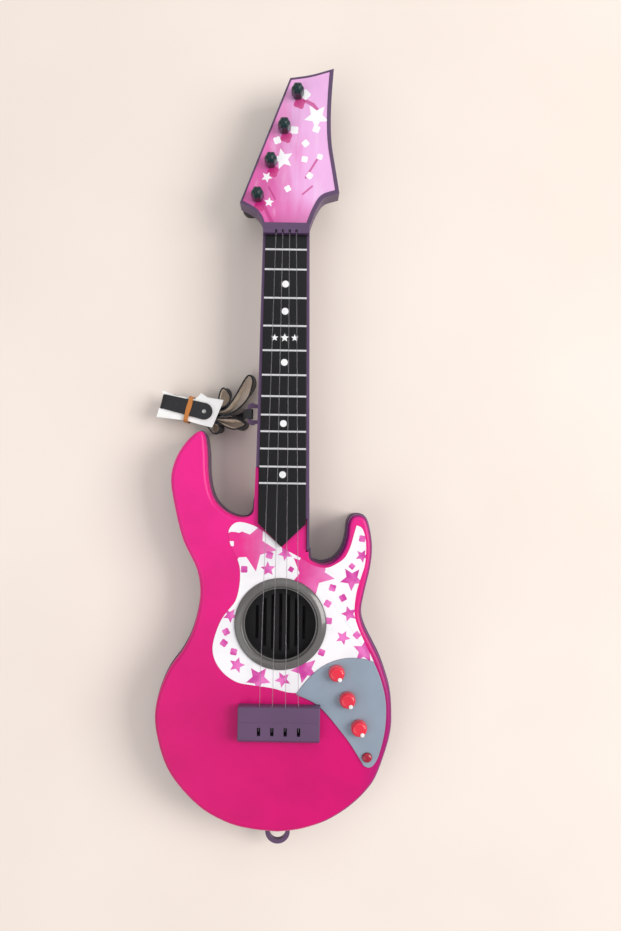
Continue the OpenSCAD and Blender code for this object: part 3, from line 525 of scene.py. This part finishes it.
def without_straights(ring):
    """The ring without the points that lie on a straight line between their neighbours."""
    kept = []
    for before, here, after in zip(ring[-1:] + ring[:-1], ring, ring[1:] + ring[:1]):
        a, b = here - before, after - here
        if a.length > 1e-7 and abs(a.x * b.y - a.y * b.x) > 1e-6 * a.length * max(b.length, 1e-9):
            kept.append(here)
    return kept


def thinned(ring, gap):
    """The ring without points closer than gap metres to the one before."""
    kept = [ring[0]]
    for point in ring[1:]:
        if (point - kept[-1]).length > gap and (point - ring[0]).length > gap:
            kept.append(point)
    return kept


def filled(line, step):
    """The line with points added so that none are further apart than step, without its end."""
    out = []
    for a, b in zip(line, line[1:]):
        n = max(1, math.ceil((b - a).length / step))
        out += [a.lerp(b, k / n) for k in range(n)]
    return out


def spaced(ring, step):
    """The ring with points added so that none are further apart than step."""
    return filled(ring + ring[:1], step)


def inset(ring, amounts):
    """The anticlockwise ring moved inwards by an amount at each point."""
    out = []
    for i, here in enumerate(ring):
        a = (here - ring[i - 1]).normalized()
        b = (ring[(i + 1) % len(ring)] - here).normalized()
        first, second = Vector((-a.y, a.x)), Vector((-b.y, b.x))
        middle = (first + second).normalized()
        out.append(here + middle * (amounts[i] / max(0.6, middle.dot(first))))
    return out


def stacked(name, rings, slot, looped=False):
    """A closed solid through rings of equally many 3D points, capped at both ends or looped."""
    n, count = len(rings[0]), len(rings)
    faces = [] if looped else [list(range(n))[::-1], [(count - 1) * n + i for i in range(n)]]
    for k in range(count if looped else count - 1):
        for i in range(n):
            j, after = (i + 1) % n, (k + 1) % count
            faces.append([k * n + i, k * n + j, after * n + j, after * n + i])
    piece = new_piece(name, [p for ring in rings for p in ring], faces, slot)
    tidy_normals(piece)
    return piece


def at_height(ring, height):
    """The flat ring as 3D points at a height in millimetres."""
    return [Vector((p.x, p.y, height * MM)) for p in ring]


def prism(ring, low, high):
    """An upright cutter with the ring's outline, between two heights in millimetres."""
    return stacked("cutter", [at_height(ring, low), at_height(ring, high)], "black_plastic")


def block(low, high):
    """A box cutter between two corners in millimetres."""
    corners = [(low[0], low[1]), (high[0], low[1]), (high[0], high[1]), (low[0], high[1])]
    return prism([Vector(c) * MM for c in corners], low[2], high[2])


def drill(centre, radius, low=20, high=60):
    """A round cutter, in millimetres. By default it goes right through the front."""
    turns = [2 * math.pi * k / 64 for k in range(64)]
    ring = [(centre[0] + radius * math.cos(a), centre[1] + radius * math.sin(a)) for a in turns]
    return prism([Vector(point) * MM for point in ring], low, high)


def lathe(name, profile, centre, slot, count=96, flutes=0, depth=0.0, looped=False):
    """A turned solid from (radius, height) pairs in millimetres, with optional flutes."""
    rings = []
    for radius, height in profile:
        ring = []
        for k in range(count):
            turn = 2 * math.pi * k / count
            r = max(radius, 0.01)
            if flutes:
                r -= depth * min(1.0, r / 2.5) * (0.5 - 0.5 * math.cos(flutes * turn))
            x, y = centre[0] + r * math.cos(turn), centre[1] + r * math.sin(turn)
            ring.append(Vector((x, y, height)) * MM)
        rings.append(ring)
    return stacked(name, rings, slot, looped)


def arc(centre, size, start, end, steps):
    """Points of a quarter-like arc in (radius, height), angles in degrees."""
    out = []
    for k in range(steps + 1):
        a = math.radians(start + (end - start) * k / steps)
        out.append((centre[0] + size[0] * math.cos(a), centre[1] + size[1] * math.sin(a)))
    return out


# ---------- the two shells ----------

FRONT = box_mm("body_front")[1].z
PLATE = FRONT - 2.4
SEAM_Z = 28.0
RIM = 3.8
KNOB_HOLE_R = 3.9
BUTTON_HOLE_R = 3.7
CUP_HOLE_R = 31
SCREW_HOLE_R = 3.1
POINT_GAP = 2.2
knobs = [middle(f"knob_{k}") for k in (1, 2, 3)]
button = middle("push_button")


def smoothstep(value):
    value = min(1.0, max(0.0, value))
    return value * value * (3 - 2 * value)


def neck_distances(ring):
    """How far each point is along the ring from the stretch beside the neck, in mm."""
    half_neck, foot_y = 22 * MM, 50 * MM
    near = [abs(p.x) < half_neck and p.y > foot_y for p in ring]
    far = [0.0 if n else 1e9 for n in near]
    for _ in range(2):
        for i in range(len(ring)):
            far[i] = min(far[i], far[i - 1] + (ring[i] - ring[i - 1]).length / MM)
        for i in range(len(ring) - 1, -1, -1):
            j = (i + 1) % len(ring)
            far[i] = min(far[i], far[j] + (ring[i] - ring[j]).length / MM)
    return far


def rim_room(ring, most):
    """How far each point can move inwards, up to most, before it nears another part of the
    ring, in metres."""
    ways = [(moved - here).normalized() for moved, here in zip(inset(ring, [MM] * len(ring)), ring)]
    room = []
    for here, way in zip(ring, ways):
        far = most
        while far > MM and min((here + way * far * 1.4 - other).length for other in ring) < 1.3 * far:
            far -= 0.3 * MM
        room.append(far)
    for _ in range(12):
        room = [min(r, (room[i - 1] + r + room[(i + 1) % len(room)]) / 3) for i, r in enumerate(room)]
    return room


def front_shell():
    """The pink moulding with a rounded front edge, which fades out beside the neck."""
    outline = thinned(section("body_front", PLATE + 0.9)[0], POINT_GAP / 2 * MM)
    ring = spaced(outline, POINT_GAP * MM)
    far = neck_distances(ring)
    ring = inset(ring, [-1.0 * MM * smoothstep(d / 9) for d in far])
    far = neck_distances(ring)
    room = [r / MM for r in rim_room(ring, RIM * MM)]
    fade, least_width, least_drop, slope = 18, 0.5, 0.6, 1.15
    grown = [smoothstep(d / fade) for d in far]
    width = [min(least_width + (RIM - least_width) * g, r) for g, r in zip(grown, room)]
    drop = [least_drop + (slope * r - least_drop) * g for g, r in zip(grown, room)]
    rings = [at_height(inset(ring, [0.25 * MM] * len(ring)), SEAM_Z)]
    rings.append(at_height(ring, SEAM_Z + 0.3))
    for k in range(9):
        turn = math.radians(90 * k / 8)
        inner = inset(ring, [w * (1 - math.cos(turn)) * MM for w in width])
        heights = [FRONT - d * (1 - math.sin(turn)) for d in drop]
        rings.append([Vector((p.x, p.y, h * MM)) for p, h in zip(inner, heights)])
    shell = stacked("body_front_skin", rings, "pink_shell")
    void = section("body_back", 10)[1]
    cut(
        shell,
        prism(void, 15, PLATE),
        drill((0, 0), CUP_HOLE_R),
        *[drill(k, KNOB_HOLE_R) for k in knobs],
        drill(button, BUTTON_HOLE_R),
    )
    return stand_in(shell, "body_front", 28)


def back_shell():
    """The purple moulding with a rounded back edge and a bead at the seam. It is hollow, and
    opened for the neck's heel, the battery cover, the battery box and the screws."""
    outline, inside = section("body_back", 10)[:2]
    ring = spaced(outline, POINT_GAP * MM)
    back_r = 3.2
    turns = [math.radians(a) for a in range(0, 91, 15)]
    profile = [(back_r * (1 - math.sin(a)), back_r * (1 - math.cos(a))) for a in turns]
    profile += [(0, 25), (-0.25, 25.4), (-0.7, 25.65), (-0.9, 26.1), (-0.95, 26.8)]
    profile += [(-0.9, 27.4), (-0.75, 27.8), (-0.5, SEAM_Z)]
    rings = [at_height(inset(ring, [d * MM] * len(ring)), h) for d, h in profile]
    shell = stacked("body_back_skin", rings, "purple_shell")
    cover_low, cover_high = box_mm("battery_cover")
    box_low, box_high = box_mm("battery_box")
    gap, wall, cover_top, box_top = 0.2, 1.6, 2.15, 9
    cover_from, cover_to = (cover_low.x - gap, cover_low.y - gap), (cover_high.x + gap, cover_high.y + gap)
    box_from, box_to = (box_low.x + wall, box_low.y + wall), (box_high.x - wall, box_high.y - wall)
    heel_pocket = block((-21.4, 56.9, 19.95), (24.6, 137, 60))
    floor_top = 3.4
    screws = section("case_screws", 1.5) + section("neck_screws", 1.5)
    holes = {}
    for ring in screws:
        centre = sum(ring, Vector((0, 0))) / len(ring) / MM
        if centre.to_tuple(0) not in holes:
            holes[centre.to_tuple(0)] = drill(centre, SCREW_HOLE_R, -1, 2.6)
    cut(
        shell,
        prism(inside, floor_top, 60),
        heel_pocket,
        block((*cover_from, -1), (*cover_to, cover_top)),
        block((*box_from, -1), (*box_to, box_top)),
        *holes.values(),
    )
    return stand_in(shell, "body_back", 28)


front_shell()
back_shell()


# ---------- neck, headstock and trim ----------

refined("neck", 0.7, 3, angle=40)
refined("headstock_face", 0.25, 2)
refined("nut", 0.5)
refined("fingerboard", 0.35, 2)
refined("frets", 0.15, 1)
refined("star_plate", 0.1, 1)
refined("strap_ring", 0.7, 4)
refined("neck_lug", 0.7, 4)
refined("battery_cover", 0.4, 2)
for k in (1, 2, 3, 4):
    refined(f"peg_key_{k}", 1.4, 5)
for node in ("fret_dots", "fret_motif"):
    refined(node, 0.06, 1)


STRING_R = 0.3


def bridge():
    """The bridge: a rounded block with a faint ledge and four slots for the strings."""
    low, high = box_mm("bridge")
    top, ledge, soft = high.z, low.y + 15.5, 1.0
    profile = [(low.y, low.z), (low.y, low.z + 5.4), (low.y + 0.25, low.z + 6.4)]
    profile += [(low.y + 2.2, top - 0.7), (low.y + 2.8, top - 0.2), (low.y + 3.7, top)]
    profile += [(ledge - 0.3, top), (ledge, top - 0.15), (ledge + 0.5, top - 0.6)]
    profile += [(high.y - 1.9, top - 0.6), (high.y - 0.9, top - 0.95), (high.y - 0.25, top - 1.7)]
    profile += [(high.y, top - 2.8), (high.y, low.z)]
    centre_y = (low.y + high.y) / 2
    rings = {}
    for x, inwards in ((0, 1), (0.12, 0.55), (0.4, 0.2), (0.8, 0.04), (soft, 0)):
        narrow = 1 - inwards * soft / (high.y - centre_y)
        lower = 1 - inwards * soft / (high.z - low.z)
        shape = [(centre_y + (y - centre_y) * narrow, low.z + (z - low.z) * lower) for y, z in profile]
        for end in (low.x + x, high.x - x):
            rings[end] = [Vector((end, y, z)) * MM for y, z in shape]
    piece = stacked("bridge_skin", [rings[end] for end in sorted(rings)], "purple_shell")
    wall, hollow = 2, 5.6
    inner_low, inner_high = (low.x + wall, low.y + wall, 30), (high.x - wall, high.y - wall, low.z + hollow)
    cutters = [block(inner_low, inner_high)]
    for k in (1, 2, 3, 4):
        left, right = (c.x for c in box_mm(f"string_{k}"))
        x = left + STRING_R if k < 3 else right - STRING_R
        cutters.append(block((x - 1.25, low.y + 6, low.z), (x + 1.25, low.y + 12.2, 60)))
    cut(piece, *cutters)
    stand_in(piece, "bridge", 35)


def button_spring():
    """A wire coil under the button."""
    low, high = box_mm("button_spring")
    x, y = middle("button_spring").xy
    wire, turns, steps = 0.3, 4, 96
    radius = (high.x - low.x) / 2 - wire
    rings = []
    for k in range(steps + 1):
        turn = 2 * math.pi * turns * k / steps
        out = Vector((math.cos(turn), math.sin(turn), 0))
        rise = low.z + wire + (high.z - low.z - 2 * wire) * k / steps
        centre = Vector((x, y, rise)) + out * radius
        sides = [math.radians(60 * i) for i in range(6)]
        rings.append([(centre + wire * (out * math.cos(a) + UP * math.sin(a))) * MM for a in sides])
    piece = stacked("button_spring_skin", rings, "plain_steel")
    stand_in(piece, "button_spring", 60)
    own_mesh(piece)


def control_panel():
    """The grey plate under the knobs, with a soft edge."""
    low, high = box_mm("control_panel")
    ring = spaced(thinned(section("control_panel", low.z + 0.5)[0], 0.8 * MM), 2 * MM)
    rings = [at_height(ring, low.z), at_height(ring, high.z - 0.5)]
    for turn in (30, 60, 90):
        inwards = 0.5 * (1 - math.cos(math.radians(turn))) * MM
        height = high.z - 0.5 + 0.5 * math.sin(math.radians(turn))
        rings.append(at_height(inset(ring, [inwards] * len(ring)), height))
    piece = stacked("control_panel_skin", rings, "grey_panel")
    cut(piece, drill(button, BUTTON_HOLE_R), *[drill(k, KNOB_HOLE_R) for k in knobs])
    stand_in(piece, "control_panel", 30)


def sound_cup():
    """The black cup behind the sound hole, with slots in its floor."""
    low, high = box_mm("sound_cup")
    outer, floor_z = high.x, low.z + 2
    profile = [(0, low.z), (outer - 0.5, low.z), (outer, low.z + 0.5), (outer, high.z)]
    profile += [(outer - 2, high.z), (outer - 2, floor_z + 1.5), (outer - 2.4, floor_z + 0.4)]
    profile += [(outer - 3.4, floor_z), (0, floor_z)]
    piece = lathe("sound_cup_skin", profile, (0, 0), "cup_black", 128)
    slots = section("sound_cup", low.z + 1)[1:]
    cut(piece, *[prism(ring, low.z - 1, high.z + 1) for ring in slots])
    stand_in(piece, "sound_cup", 35)


bridge()
control_panel()
button_spring()
sound_cup()


def ring_piece():
    """The ring round the sound hole: a gentle outer slope up to a crest near the hole."""
    low, high = box_mm("sound_hole_ring")
    inner, outer, base, top = 26.9, high.x, low.z, high.z
    profile = [(inner, base), (outer, base), (outer, base + 1.0), (outer - 0.25, base + 1.6)]
    profile += [(outer - 0.9, base + 2.1), (outer - 3.4, top - 0.25), (outer - 5.0, top)]
    profile += [(outer - 5.8, top - 0.15), (outer - 6.2, top - 0.6), (outer - 6.9, base + 1.4)]
    profile += [(outer - 7.2, base + 0.9), (inner, base + 0.7)]
    piece = lathe("sound_hole_ring_skin", profile, (0, 0), "gunmetal_ring", 160, looped=True)
    stand_in(piece, "sound_hole_ring", 40)


ring_piece()


def knob_pieces():
    """The three knobs with soft edges, and the white stud near the edge of each."""
    for k in (1, 2, 3):
        low, high = box_mm(f"knob_{k}")
        centre, radius, foot, top = middle(f"knob_{k}"), (high.x - low.x) / 2, low.z, high.z
        profile = [(2.7, foot), (radius - 0.4, foot), (radius, foot + 0.4), (radius, foot + 1.1)]
        profile += arc((radius - 3.0, top - 3.2), (2.6, 2.9), 0, 78, 8)
        profile += [(0.5, top), (0, top)]
        piece = lathe(f"knob_{k}_skin", profile, centre, "red_knob")
        stand_in(piece, f"knob_{k}", 30)
        low, high = box_mm(f"knob_pointer_{k}")
        centre, radius = middle(f"knob_pointer_{k}"), (high.x - low.x) / 2
        stud = [(radius - 0.05, low.z), (radius, high.z - 0.7)]
        stud += arc((radius - 0.7, high.z - 0.7), (0.7, 0.7), 0, 80, 5) + [(0, high.z)]
        piece = lathe(f"knob_pointer_{k}_skin", stud, centre, "white_pointer", 48)
        stand_in(piece, f"knob_pointer_{k}", 40)


knob_pieces()


def peg_pieces():
    """The four front pegs: a round foot under a dark, faintly fluted dome."""
    for k in (1, 2, 3, 4):
        low, high = box_mm(f"tuning_peg_{k}")
        foot, top, stem_r, wider = 39.2, high.z, 3.0, 0.45
        centre, radius = middle(f"tuning_peg_{k}"), (high.x - low.x) / 2 + wider
        profile = [(0, low.z), (stem_r, low.z), (stem_r, foot), (radius - 0.6, foot)]
        profile += [(radius - 0.1, foot + 0.5), (radius, foot + 2.0), (radius * 0.97, top - 5)]
        profile += arc((0, top - 5), (radius * 0.97, 5), 8, 88, 10) + [(0, top)]
        piece = lathe(f"tuning_peg_{k}_skin", profile, centre, "peg_green", 96, 6, 0.5)
        stand_in(piece, f"tuning_peg_{k}", 40)


peg_pieces()


# ---------- strap ----------


def heading(points, i):
    """The direction of travel at point i of a curve."""
    return (points[min(i + 1, len(points) - 1)] - points[max(i - 1, 0)]).normalized()


def path_of(node, height, thickness, start):
    """The middle line of a CAD ribbon that stands on edge, as 2D points in metres, from the
    end nearest to start."""
    ring = section(node, height)[0]
    n = len(ring)

    def turn(i):
        before, after = ring[i] - ring[i - 1], ring[(i + 1) % n] - ring[i]
        return math.degrees(math.atan2(before.x * after.y - before.y * after.x, before.dot(after)))

    corners = [i for i in range(n) if turn(i) > 70]
    caps = [(a, b) for a in corners for b in corners if 0 < (b - a) % n < 4]
    caps.sort(key=lambda cap: (ring[cap[0]] - start).length)
    first, last = caps[0][1], caps[-1][0]
    side = [ring[(first + k) % n] for k in range((last - first) % n + 1)]
    line = []
    for k, here in enumerate(side):
        travel = heading(side, k)
        line.append(here + Vector((-travel.y, travel.x)) * (thickness / 2))
    return line


def smooth_curve(points, steps):
    """A Catmull-Rom curve through the points."""
    out = []
    for i in range(len(points) - 1):
        a, b = points[max(i - 1, 0)], points[i]
        c, d = points[i + 1], points[min(i + 2, len(points) - 1)]
        square, cube = 2 * a - 5 * b + 4 * c - d, 3 * b - a - 3 * c + d
        for k in range(steps):
            t = k / steps
            out.append(0.5 * (2 * b + (c - a) * t + square * t**2 + cube * t**3))
    return out + [points[-1]]


# The section of a band: shares of its width and of its thickness, once round
BAND_SHAPE = [(0.5, -0.3), (0.5, 0.3), (0.485, 0.5), (0.3, 0.5), (0, 0.5), (-0.3, 0.5), (-0.485, 0.5)]
BAND_SHAPE += [(-a, -b) for a, b in BAND_SHAPE]


def ribbon(name, stations, slot, looped=False):
    """A band with rounded long edges through stations of (middle, width direction, width,
    thickness direction, thickness), lengths in metres."""
    rings = [
        [centre + across * (a * width) + out * (b * thick) for a, b in BAND_SHAPE]
        for centre, across, width, out, thick in stations
    ]
    return stacked(name, rings, slot, looped)


STRAP_T = 1.3 * MM
STRAP_W = 14 * MM
LUG_W = 7.4
strap_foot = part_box("strap")[0].z
card_low, card_high = box_mm("strap_card")
# The folded pack's own frame: X along it to its right end, Y across it
PACK_TURN = math.radians(-13)
PACK_X = Vector((math.cos(PACK_TURN), math.sin(PACK_TURN), 0))
PACK_Y = Vector((-math.sin(PACK_TURN), math.cos(PACK_TURN), 0))
PACK_END = Vector((-52.7, 158.6, 0)) * MM
# Places along and across the pack in millimetres: where the strap folds back on itself, where it
# turns up to become the tab, the tab's start, round end, middle line and radii, the rubber band
FOLD_AT = (-40.7, 2.85)
TURN_T = -45.0
TAB_START = TURN_T + 3.4
TAB_END = -10.4
TAB_SIDE = 1.0
TAB_R = 6.6
TAB_HOLE_R = 1.6
BAND_T = -22.6
# The CAD strap is followed from this X on; the stretch before it is drawn here
FOLLOWED_FROM = -37.5
TO_FOOT = Vector((0, -1, 0))


def in_pack(t, w, z):
    """A point of the strap's pack: t along it from its right end, w across it, z up, in mm."""
    return PACK_END + PACK_X * (t * MM) + PACK_Y * (w * MM) + UP * (z * MM)


def turned_frames(frames, steps):
    """Directions that turn evenly from one (travel, across) pair to the next."""
    turns = []
    for travel, across in frames:
        out = travel.cross(across)
        turns.append(Matrix((across, out, travel)).transposed().to_quaternion())
    made = []
    for a, b in zip(turns, turns[1:]):
        made += [a.slerp(b, smoothstep(k / steps)) for k in range(steps)]
    made.append(turns[-1])
    return [(q @ Vector((1, 0, 0)), q @ Vector((0, 1, 0))) for q in made]


def lean_along(out_by, line):
    """Degrees of lean of the strap at each point: its loops open outwards along their legs,
    and close over at their far ends."""
    opening, closing = 7, 14
    leans, i = [0.0] * len(line), 0
    while i < len(line):
        j = i
        while j < len(line) and out_by[j] > 0:
            j += 1
        if j > i:
            mouth = (line[i] + line[j - 1]) / 2
            reach = [(p - mouth).length for p in line[i:j]]
            far = max(max(reach), 5 * MM)
            for k, r in enumerate(reach):
                opened = opening * smoothstep(r / far / 0.35)
                leans[i + k] = opened - closing * smoothstep((r / far - 0.62) / 0.3)
        i = j + 1
    return leans


def lug_wrap(left, y, base, top):
    """Stations round the neck lug: under it, up its right side, over it and down its left."""
    wrap = [(-0.6, base - 1.0), (2.2, base - 0.95), (3.4, base - 0.1), (3.5, top - 1.5)]
    wrap += [(3.1, top + 0.6), (1.2, top + 0.95), (-0.8, top + 0.4), (-2.2, top - 3)]
    wrap += [(-3.2, base - 4), (-3.9, base - 12)]
    points = smooth_curve([Vector((left + x, y, z)) * MM for x, z in wrap], 4)
    normals = [heading(points, i).cross(TO_FOOT) for i in range(len(points))]
    return [(p, TO_FOOT, LUG_W * MM, n, STRAP_T) for p, n in zip(points, normals)]


def drop_to_pack(keys):
    """Stations from the lug down to the pack, where the strap turns on edge and widens."""
    points = smooth_curve(keys, 8)[1:]
    frames = turned_frames([(-UP, TO_FOOT), (Vector((-1, 0, 0)), UP)], len(points) - 1)
    out = []
    for i, (here, (across, normal)) in enumerate(zip(points, frames)):
        width = LUG_W + (STRAP_W / MM - LUG_W) * smoothstep((i + 1) / len(points))
        out.append((here, across, width * MM, normal, STRAP_T))
    return out


def pack_line(line):
    """The strap's middle line in the pack, with a point at least every 2.5 mm, and without
    its first point and its last 5 mm."""
    body = filled(line, 2.5 * MM)
    stop = max(i for i, p in enumerate(body) if (p - line[-1]).length > 5 * MM)
    return body[1:stop]


def on_edge(body, fold, mid):
    """Stations of the strap standing on edge in the pack. It leans to the right of its travel
    before the fold and to the left after it."""
    leans = lean_along([(p - PACK_END.xy).dot(PACK_X.xy) / MM for p in body], body)
    out = []
    for i, here in enumerate(body):
        travel = heading(body, i)
        right = Vector((travel.y, -travel.x, 0))
        lean = math.radians(leans[i] if i < fold else -leans[i])
        across = UP * math.cos(lean) + right * math.sin(lean)
        normal = travel.to_3d().cross(across)
        out.append((here.to_3d() + UP * (mid * MM), across, STRAP_W, normal, STRAP_T))
    return out


def turn_up(last, mid, tab_z):
    """Stations from the pack up to the top of the card, where the strap turns flat."""
    keys = [
        last,
        in_pack(TURN_T + 2.6, TAB_SIDE - 5.5, mid + 0.4),
        in_pack(TURN_T + 0.7, TAB_SIDE - 2.6, mid + 3.4),
        in_pack(TURN_T + 0.9, TAB_SIDE - 0.4, tab_z - 1.6),
        in_pack(TAB_START, TAB_SIDE, tab_z),
    ]
    points = smooth_curve(keys, 5)[1:]
    lean_up = (UP - PACK_X * 0.3).normalized()
    frames = turned_frames([(-PACK_X, UP), (lean_up, -PACK_Y), (PACK_X, -PACK_Y)], len(points) // 2)
    out = []
    for i, here in enumerate(points):
        across, normal = frames[min(i + 1, len(frames) - 1)]
        width = STRAP_W * (1 - 0.18 * smoothstep((i + 1) / 8))
        out.append((here, across.normalized(), width, normal.normalized(), STRAP_T))
    return out


def tab(tab_z):
    """Stations of the flat tab, a little bowed, and of its round end."""
    steps, first_width, out = 18, 11.5, []
    for k in range(1, steps + 1):
        t = TAB_START + (TAB_END - TAB_START) * k / steps
        bow = 0.5 * math.sin(math.pi * k / steps)
        width = first_width + (2 * TAB_R - first_width) * k / steps
        out.append((in_pack(t, TAB_SIDE, tab_z + bow), -PACK_Y, width * MM, -UP, STRAP_T))
    for k in range(1, 10):
        turn = math.radians(10 * k)
        width = max(2 * TAB_R * math.cos(turn), 0.6)
        here = in_pack(TAB_END + TAB_R * math.sin(turn), TAB_SIDE, tab_z)
        out.append((here, -PACK_Y, width * MM, -UP, STRAP_T))
    return out


def strap_stations():
    """The whole strap: round the neck lug, down, through the pack and its loops, and up over
    the card as the tab. The second value says how many stations come before the fold."""
    lug_low, lug_high = box_mm("neck_lug")
    left, y, base = lug_low.x, (lug_low.y + lug_high.y) / 2, lug_low.z
    mid = (strap_foot + STRAP_W / 2) / MM
    tab_z = card_high.z + 0.3 + STRAP_T / MM / 2
    line = path_of("strap", 3.0, STRAP_T, Vector((left, y)) * MM)
    start = next(i for i, p in enumerate(line) if p.x < FOLLOWED_FROM * MM)
    body = pack_line(line[start:])
    fold = min(range(len(body)), key=lambda i: (body[i] - in_pack(*FOLD_AT, 0).xy).length)
    stations = lug_wrap(left, y, base, lug_high.z)
    foot = line[start].to_3d() + UP * (mid * MM)
    between = Vector((left - 5.2, y + 0.6, base - 18)) * MM
    stations += drop_to_pack([stations[-1][0], between, foot])
    folded = len(stations) + fold
    stations += on_edge(body, fold, mid)
    stations += turn_up(stations[-1][0], mid, tab_z) + tab(tab_z)
    return stations, folded


def strap():
    """The strap's band with its pale back and the tab's round hole."""
    stations, folded = strap_stations()
    piece = ribbon("strap_band", stations, "black_strap")
    piece.data.materials.append(materials["strap_backing"])
    corners = len(BAND_SHAPE)
    for face in piece.data.polygons:
        if len(face.vertices) != 4:
            continue
        side = 1 if min(v // corners for v in face.vertices) < folded else -1
        places = [BAND_SHAPE[v % corners][1] * side for v in face.vertices]
        face.material_index = 1 if max(places) < -0.4 else 0
    hole = in_pack(TAB_END, TAB_SIDE, 0) / MM
    cut(piece, drill(hole, TAB_HOLE_R, 12, 30))
    stand_in(piece, "strap", 50)
    return piece


def card():
    """The white card under the tab, a little curled away from it."""
    outline = section("strap_card", 16.2)[0]
    low, high, cell = card_low, card_high, 2.5
    columns, rows = int((high.x - low.x) / cell) + 2, int((high.y - low.y) / cell) + 2
    sheet = bmesh.new()
    bmesh.ops.create_grid(sheet, x_segments=columns, y_segments=rows, size=0.5)
    for v in sheet.verts:
        v.co.x = (low.x - 1 + (v.co.x + 0.5) * (high.x - low.x + 2)) * MM
        v.co.y = (low.y - 1 + (v.co.y + 0.5) * (high.y - low.y + 2)) * MM
        v.co.z = low.z * MM
    grown = bmesh.ops.extrude_face_region(sheet, geom=sheet.faces[:])
    for v in grown["geom"]:
        if isinstance(v, bmesh.types.BMVert):
            v.co.z = high.z * MM
    bmesh.ops.recalc_face_normals(sheet, faces=sheet.faces)
    mesh = bpy.data.meshes.new("strap_card_skin")
    sheet.to_mesh(mesh)
    sheet.free()
    piece = placed("strap_card_skin", mesh, "white_card")
    step = piece.modifiers.new("shape", "BOOLEAN")
    step.operation, step.solver = "INTERSECT", "EXACT"
    mask = prism(outline, 10, 22)
    step.object = mask
    freeze(piece)
    bpy.data.objects.remove(mask)
    for v in piece.data.vertices:
        away = v.co - PACK_END
        t, w = away.dot(PACK_X) / MM, away.dot(PACK_Y) / MM
        free = max(0.0, abs(w - TAB_SIDE) - TAB_R - 0.2)
        held = 1 - math.exp(-(((t - BAND_T) / 9) ** 2))
        v.co.z += (0.07 * free * free * held + 0.25 * math.sin(t * 0.21) * smoothstep(free / 3)) * MM
    stand_in(piece, "strap_card", 40)


def rounded_box(left, right, base, top, corner, step):
    """Points round an upright box with round corners, no further apart than step."""
    near, far, lower, upper = left + corner, right - corner, base + corner, top - corner
    line = []
    for x, z, start in ((far, upper, 0), (near, upper, 90), (near, lower, 180), (far, lower, 270)):
        line += arc((x, z), (corner, corner), start, start + 90, 8)
    return spaced([Vector(point) for point in line], step)


def rubber_band():
    """A flat rubber band pulled round the strap, the card and the tab."""
    low, high = box_mm("rubber_band")
    near_w, open_w, width, thick, corner = -9.8, 18.9, 3.6, 0.9, 2.6
    base, top = low.z + thick / 2, high.z - thick / 2
    loop = rounded_box(near_w - thick / 2, near_w + open_w + thick / 2, base, top, corner, 1.5)
    stations = []
    for i, (w, z) in enumerate(loop):
        ahead = loop[(i + 1) % len(loop)] - loop[i - 1]
        out = (PACK_Y * ahead.x + UP * ahead.y).normalized().cross(PACK_X)
        t = BAND_T + 0.2 * math.sin(w * 0.3)
        broad = width * (1 + 0.1 * math.sin(w * 0.4 + 1))
        stations.append((in_pack(t, w, z), PACK_X, broad * MM, out, thick * MM))
    piece = ribbon("rubber_band_skin", stations, "tan_rubber", looped=True)
    stand_in(piece, "rubber_band", 40)


strap()
card()
rubber_band()


# ---------- inner parts and what is left of the CAD nodes ----------

for name, node in frame["nodes"].items():
    if not node.hide_render:
        node.data.materials.clear()
        node.data.materials.append(materials[slot_of[name]])

# ---------- stage, light and camera ----------


def stage():
    """The wide cream sheet the guitar lies on."""
    size = 3.0
    corners = [(-size, -size, 0), (size, -size, 0), (size, size, 0), (-size, size, 0)]
    floor = new_piece("floor", corners, [[0, 1, 2, 3]], "white_card")
    s = Surface("cream_floor")
    cloud = s.noise(s.at, 0.004, 3)
    colour = s.mix(s.ramp(cloud, 0.3, 0.7), srgb(240, 227, 216), srgb(245, 233, 223))
    s.put(Base_Color=colour, Roughness=0.75)
    floor.data.materials[0] = s.material


def area_light(name, place, aim, size, power, colour):
    """A rectangular lamp at a place in metres, turned towards its aim."""
    data = bpy.data.lights.new(name, "AREA")
    data.shape = "RECTANGLE"
    data.size, data.size_y = size
    data.energy, data.color = power, colour
    lamp = bpy.data.objects.new(name, data)
    lamp.location = place
    lamp.rotation_euler = (Vector(aim) - Vector(place)).to_track_quat("-Z", "Y").to_euler()
    bpy.context.scene.collection.objects.link(lamp)


def lights():
    """A soft key light from the right, two weak fills and a dim even sky."""
    area_light("key", (1.9, 0.35, 1.7), (0, 0.12, 0), (1.4, 1.4), 42, (1, 0.98, 0.95))
    area_light("fill", (0.1, 1.35, 1.7), (0, 0.12, 0), (1.8, 1.4), 5, (1, 1, 1))
    area_light("low_fill", (-1.1, -0.7, 1.5), (0, 0.05, 0), (1.6, 1.6), 9, (1, 0.99, 0.97))
    world = bpy.data.worlds.new("room")
    world.use_nodes = True
    world.node_tree.nodes["Background"].inputs[0].default_value = (0.95, 0.96, 1.0, 1)
    world.node_tree.nodes["Background"].inputs[1].default_value = 0.5
    bpy.context.scene.world = world
    bpy.context.scene.view_settings.view_transform = "Standard"


def camera():
    """Straight above the guitar, close enough that the high parts lean outwards."""
    data = bpy.data.cameras.new("camera")
    data.lens = 32.7
    data.shift_x, data.shift_y = 0.0188, 0.0156
    data.clip_start = 0.01
    cam = bpy.data.objects.new("camera", data)
    cam.location = (0.0079, 0.1091, 0.680)
    cam.rotation_euler = (0, 0, math.radians(0.88))
    bpy.context.scene.collection.objects.link(cam)
    bpy.context.scene.camera = cam


stage()
lights()
camera()
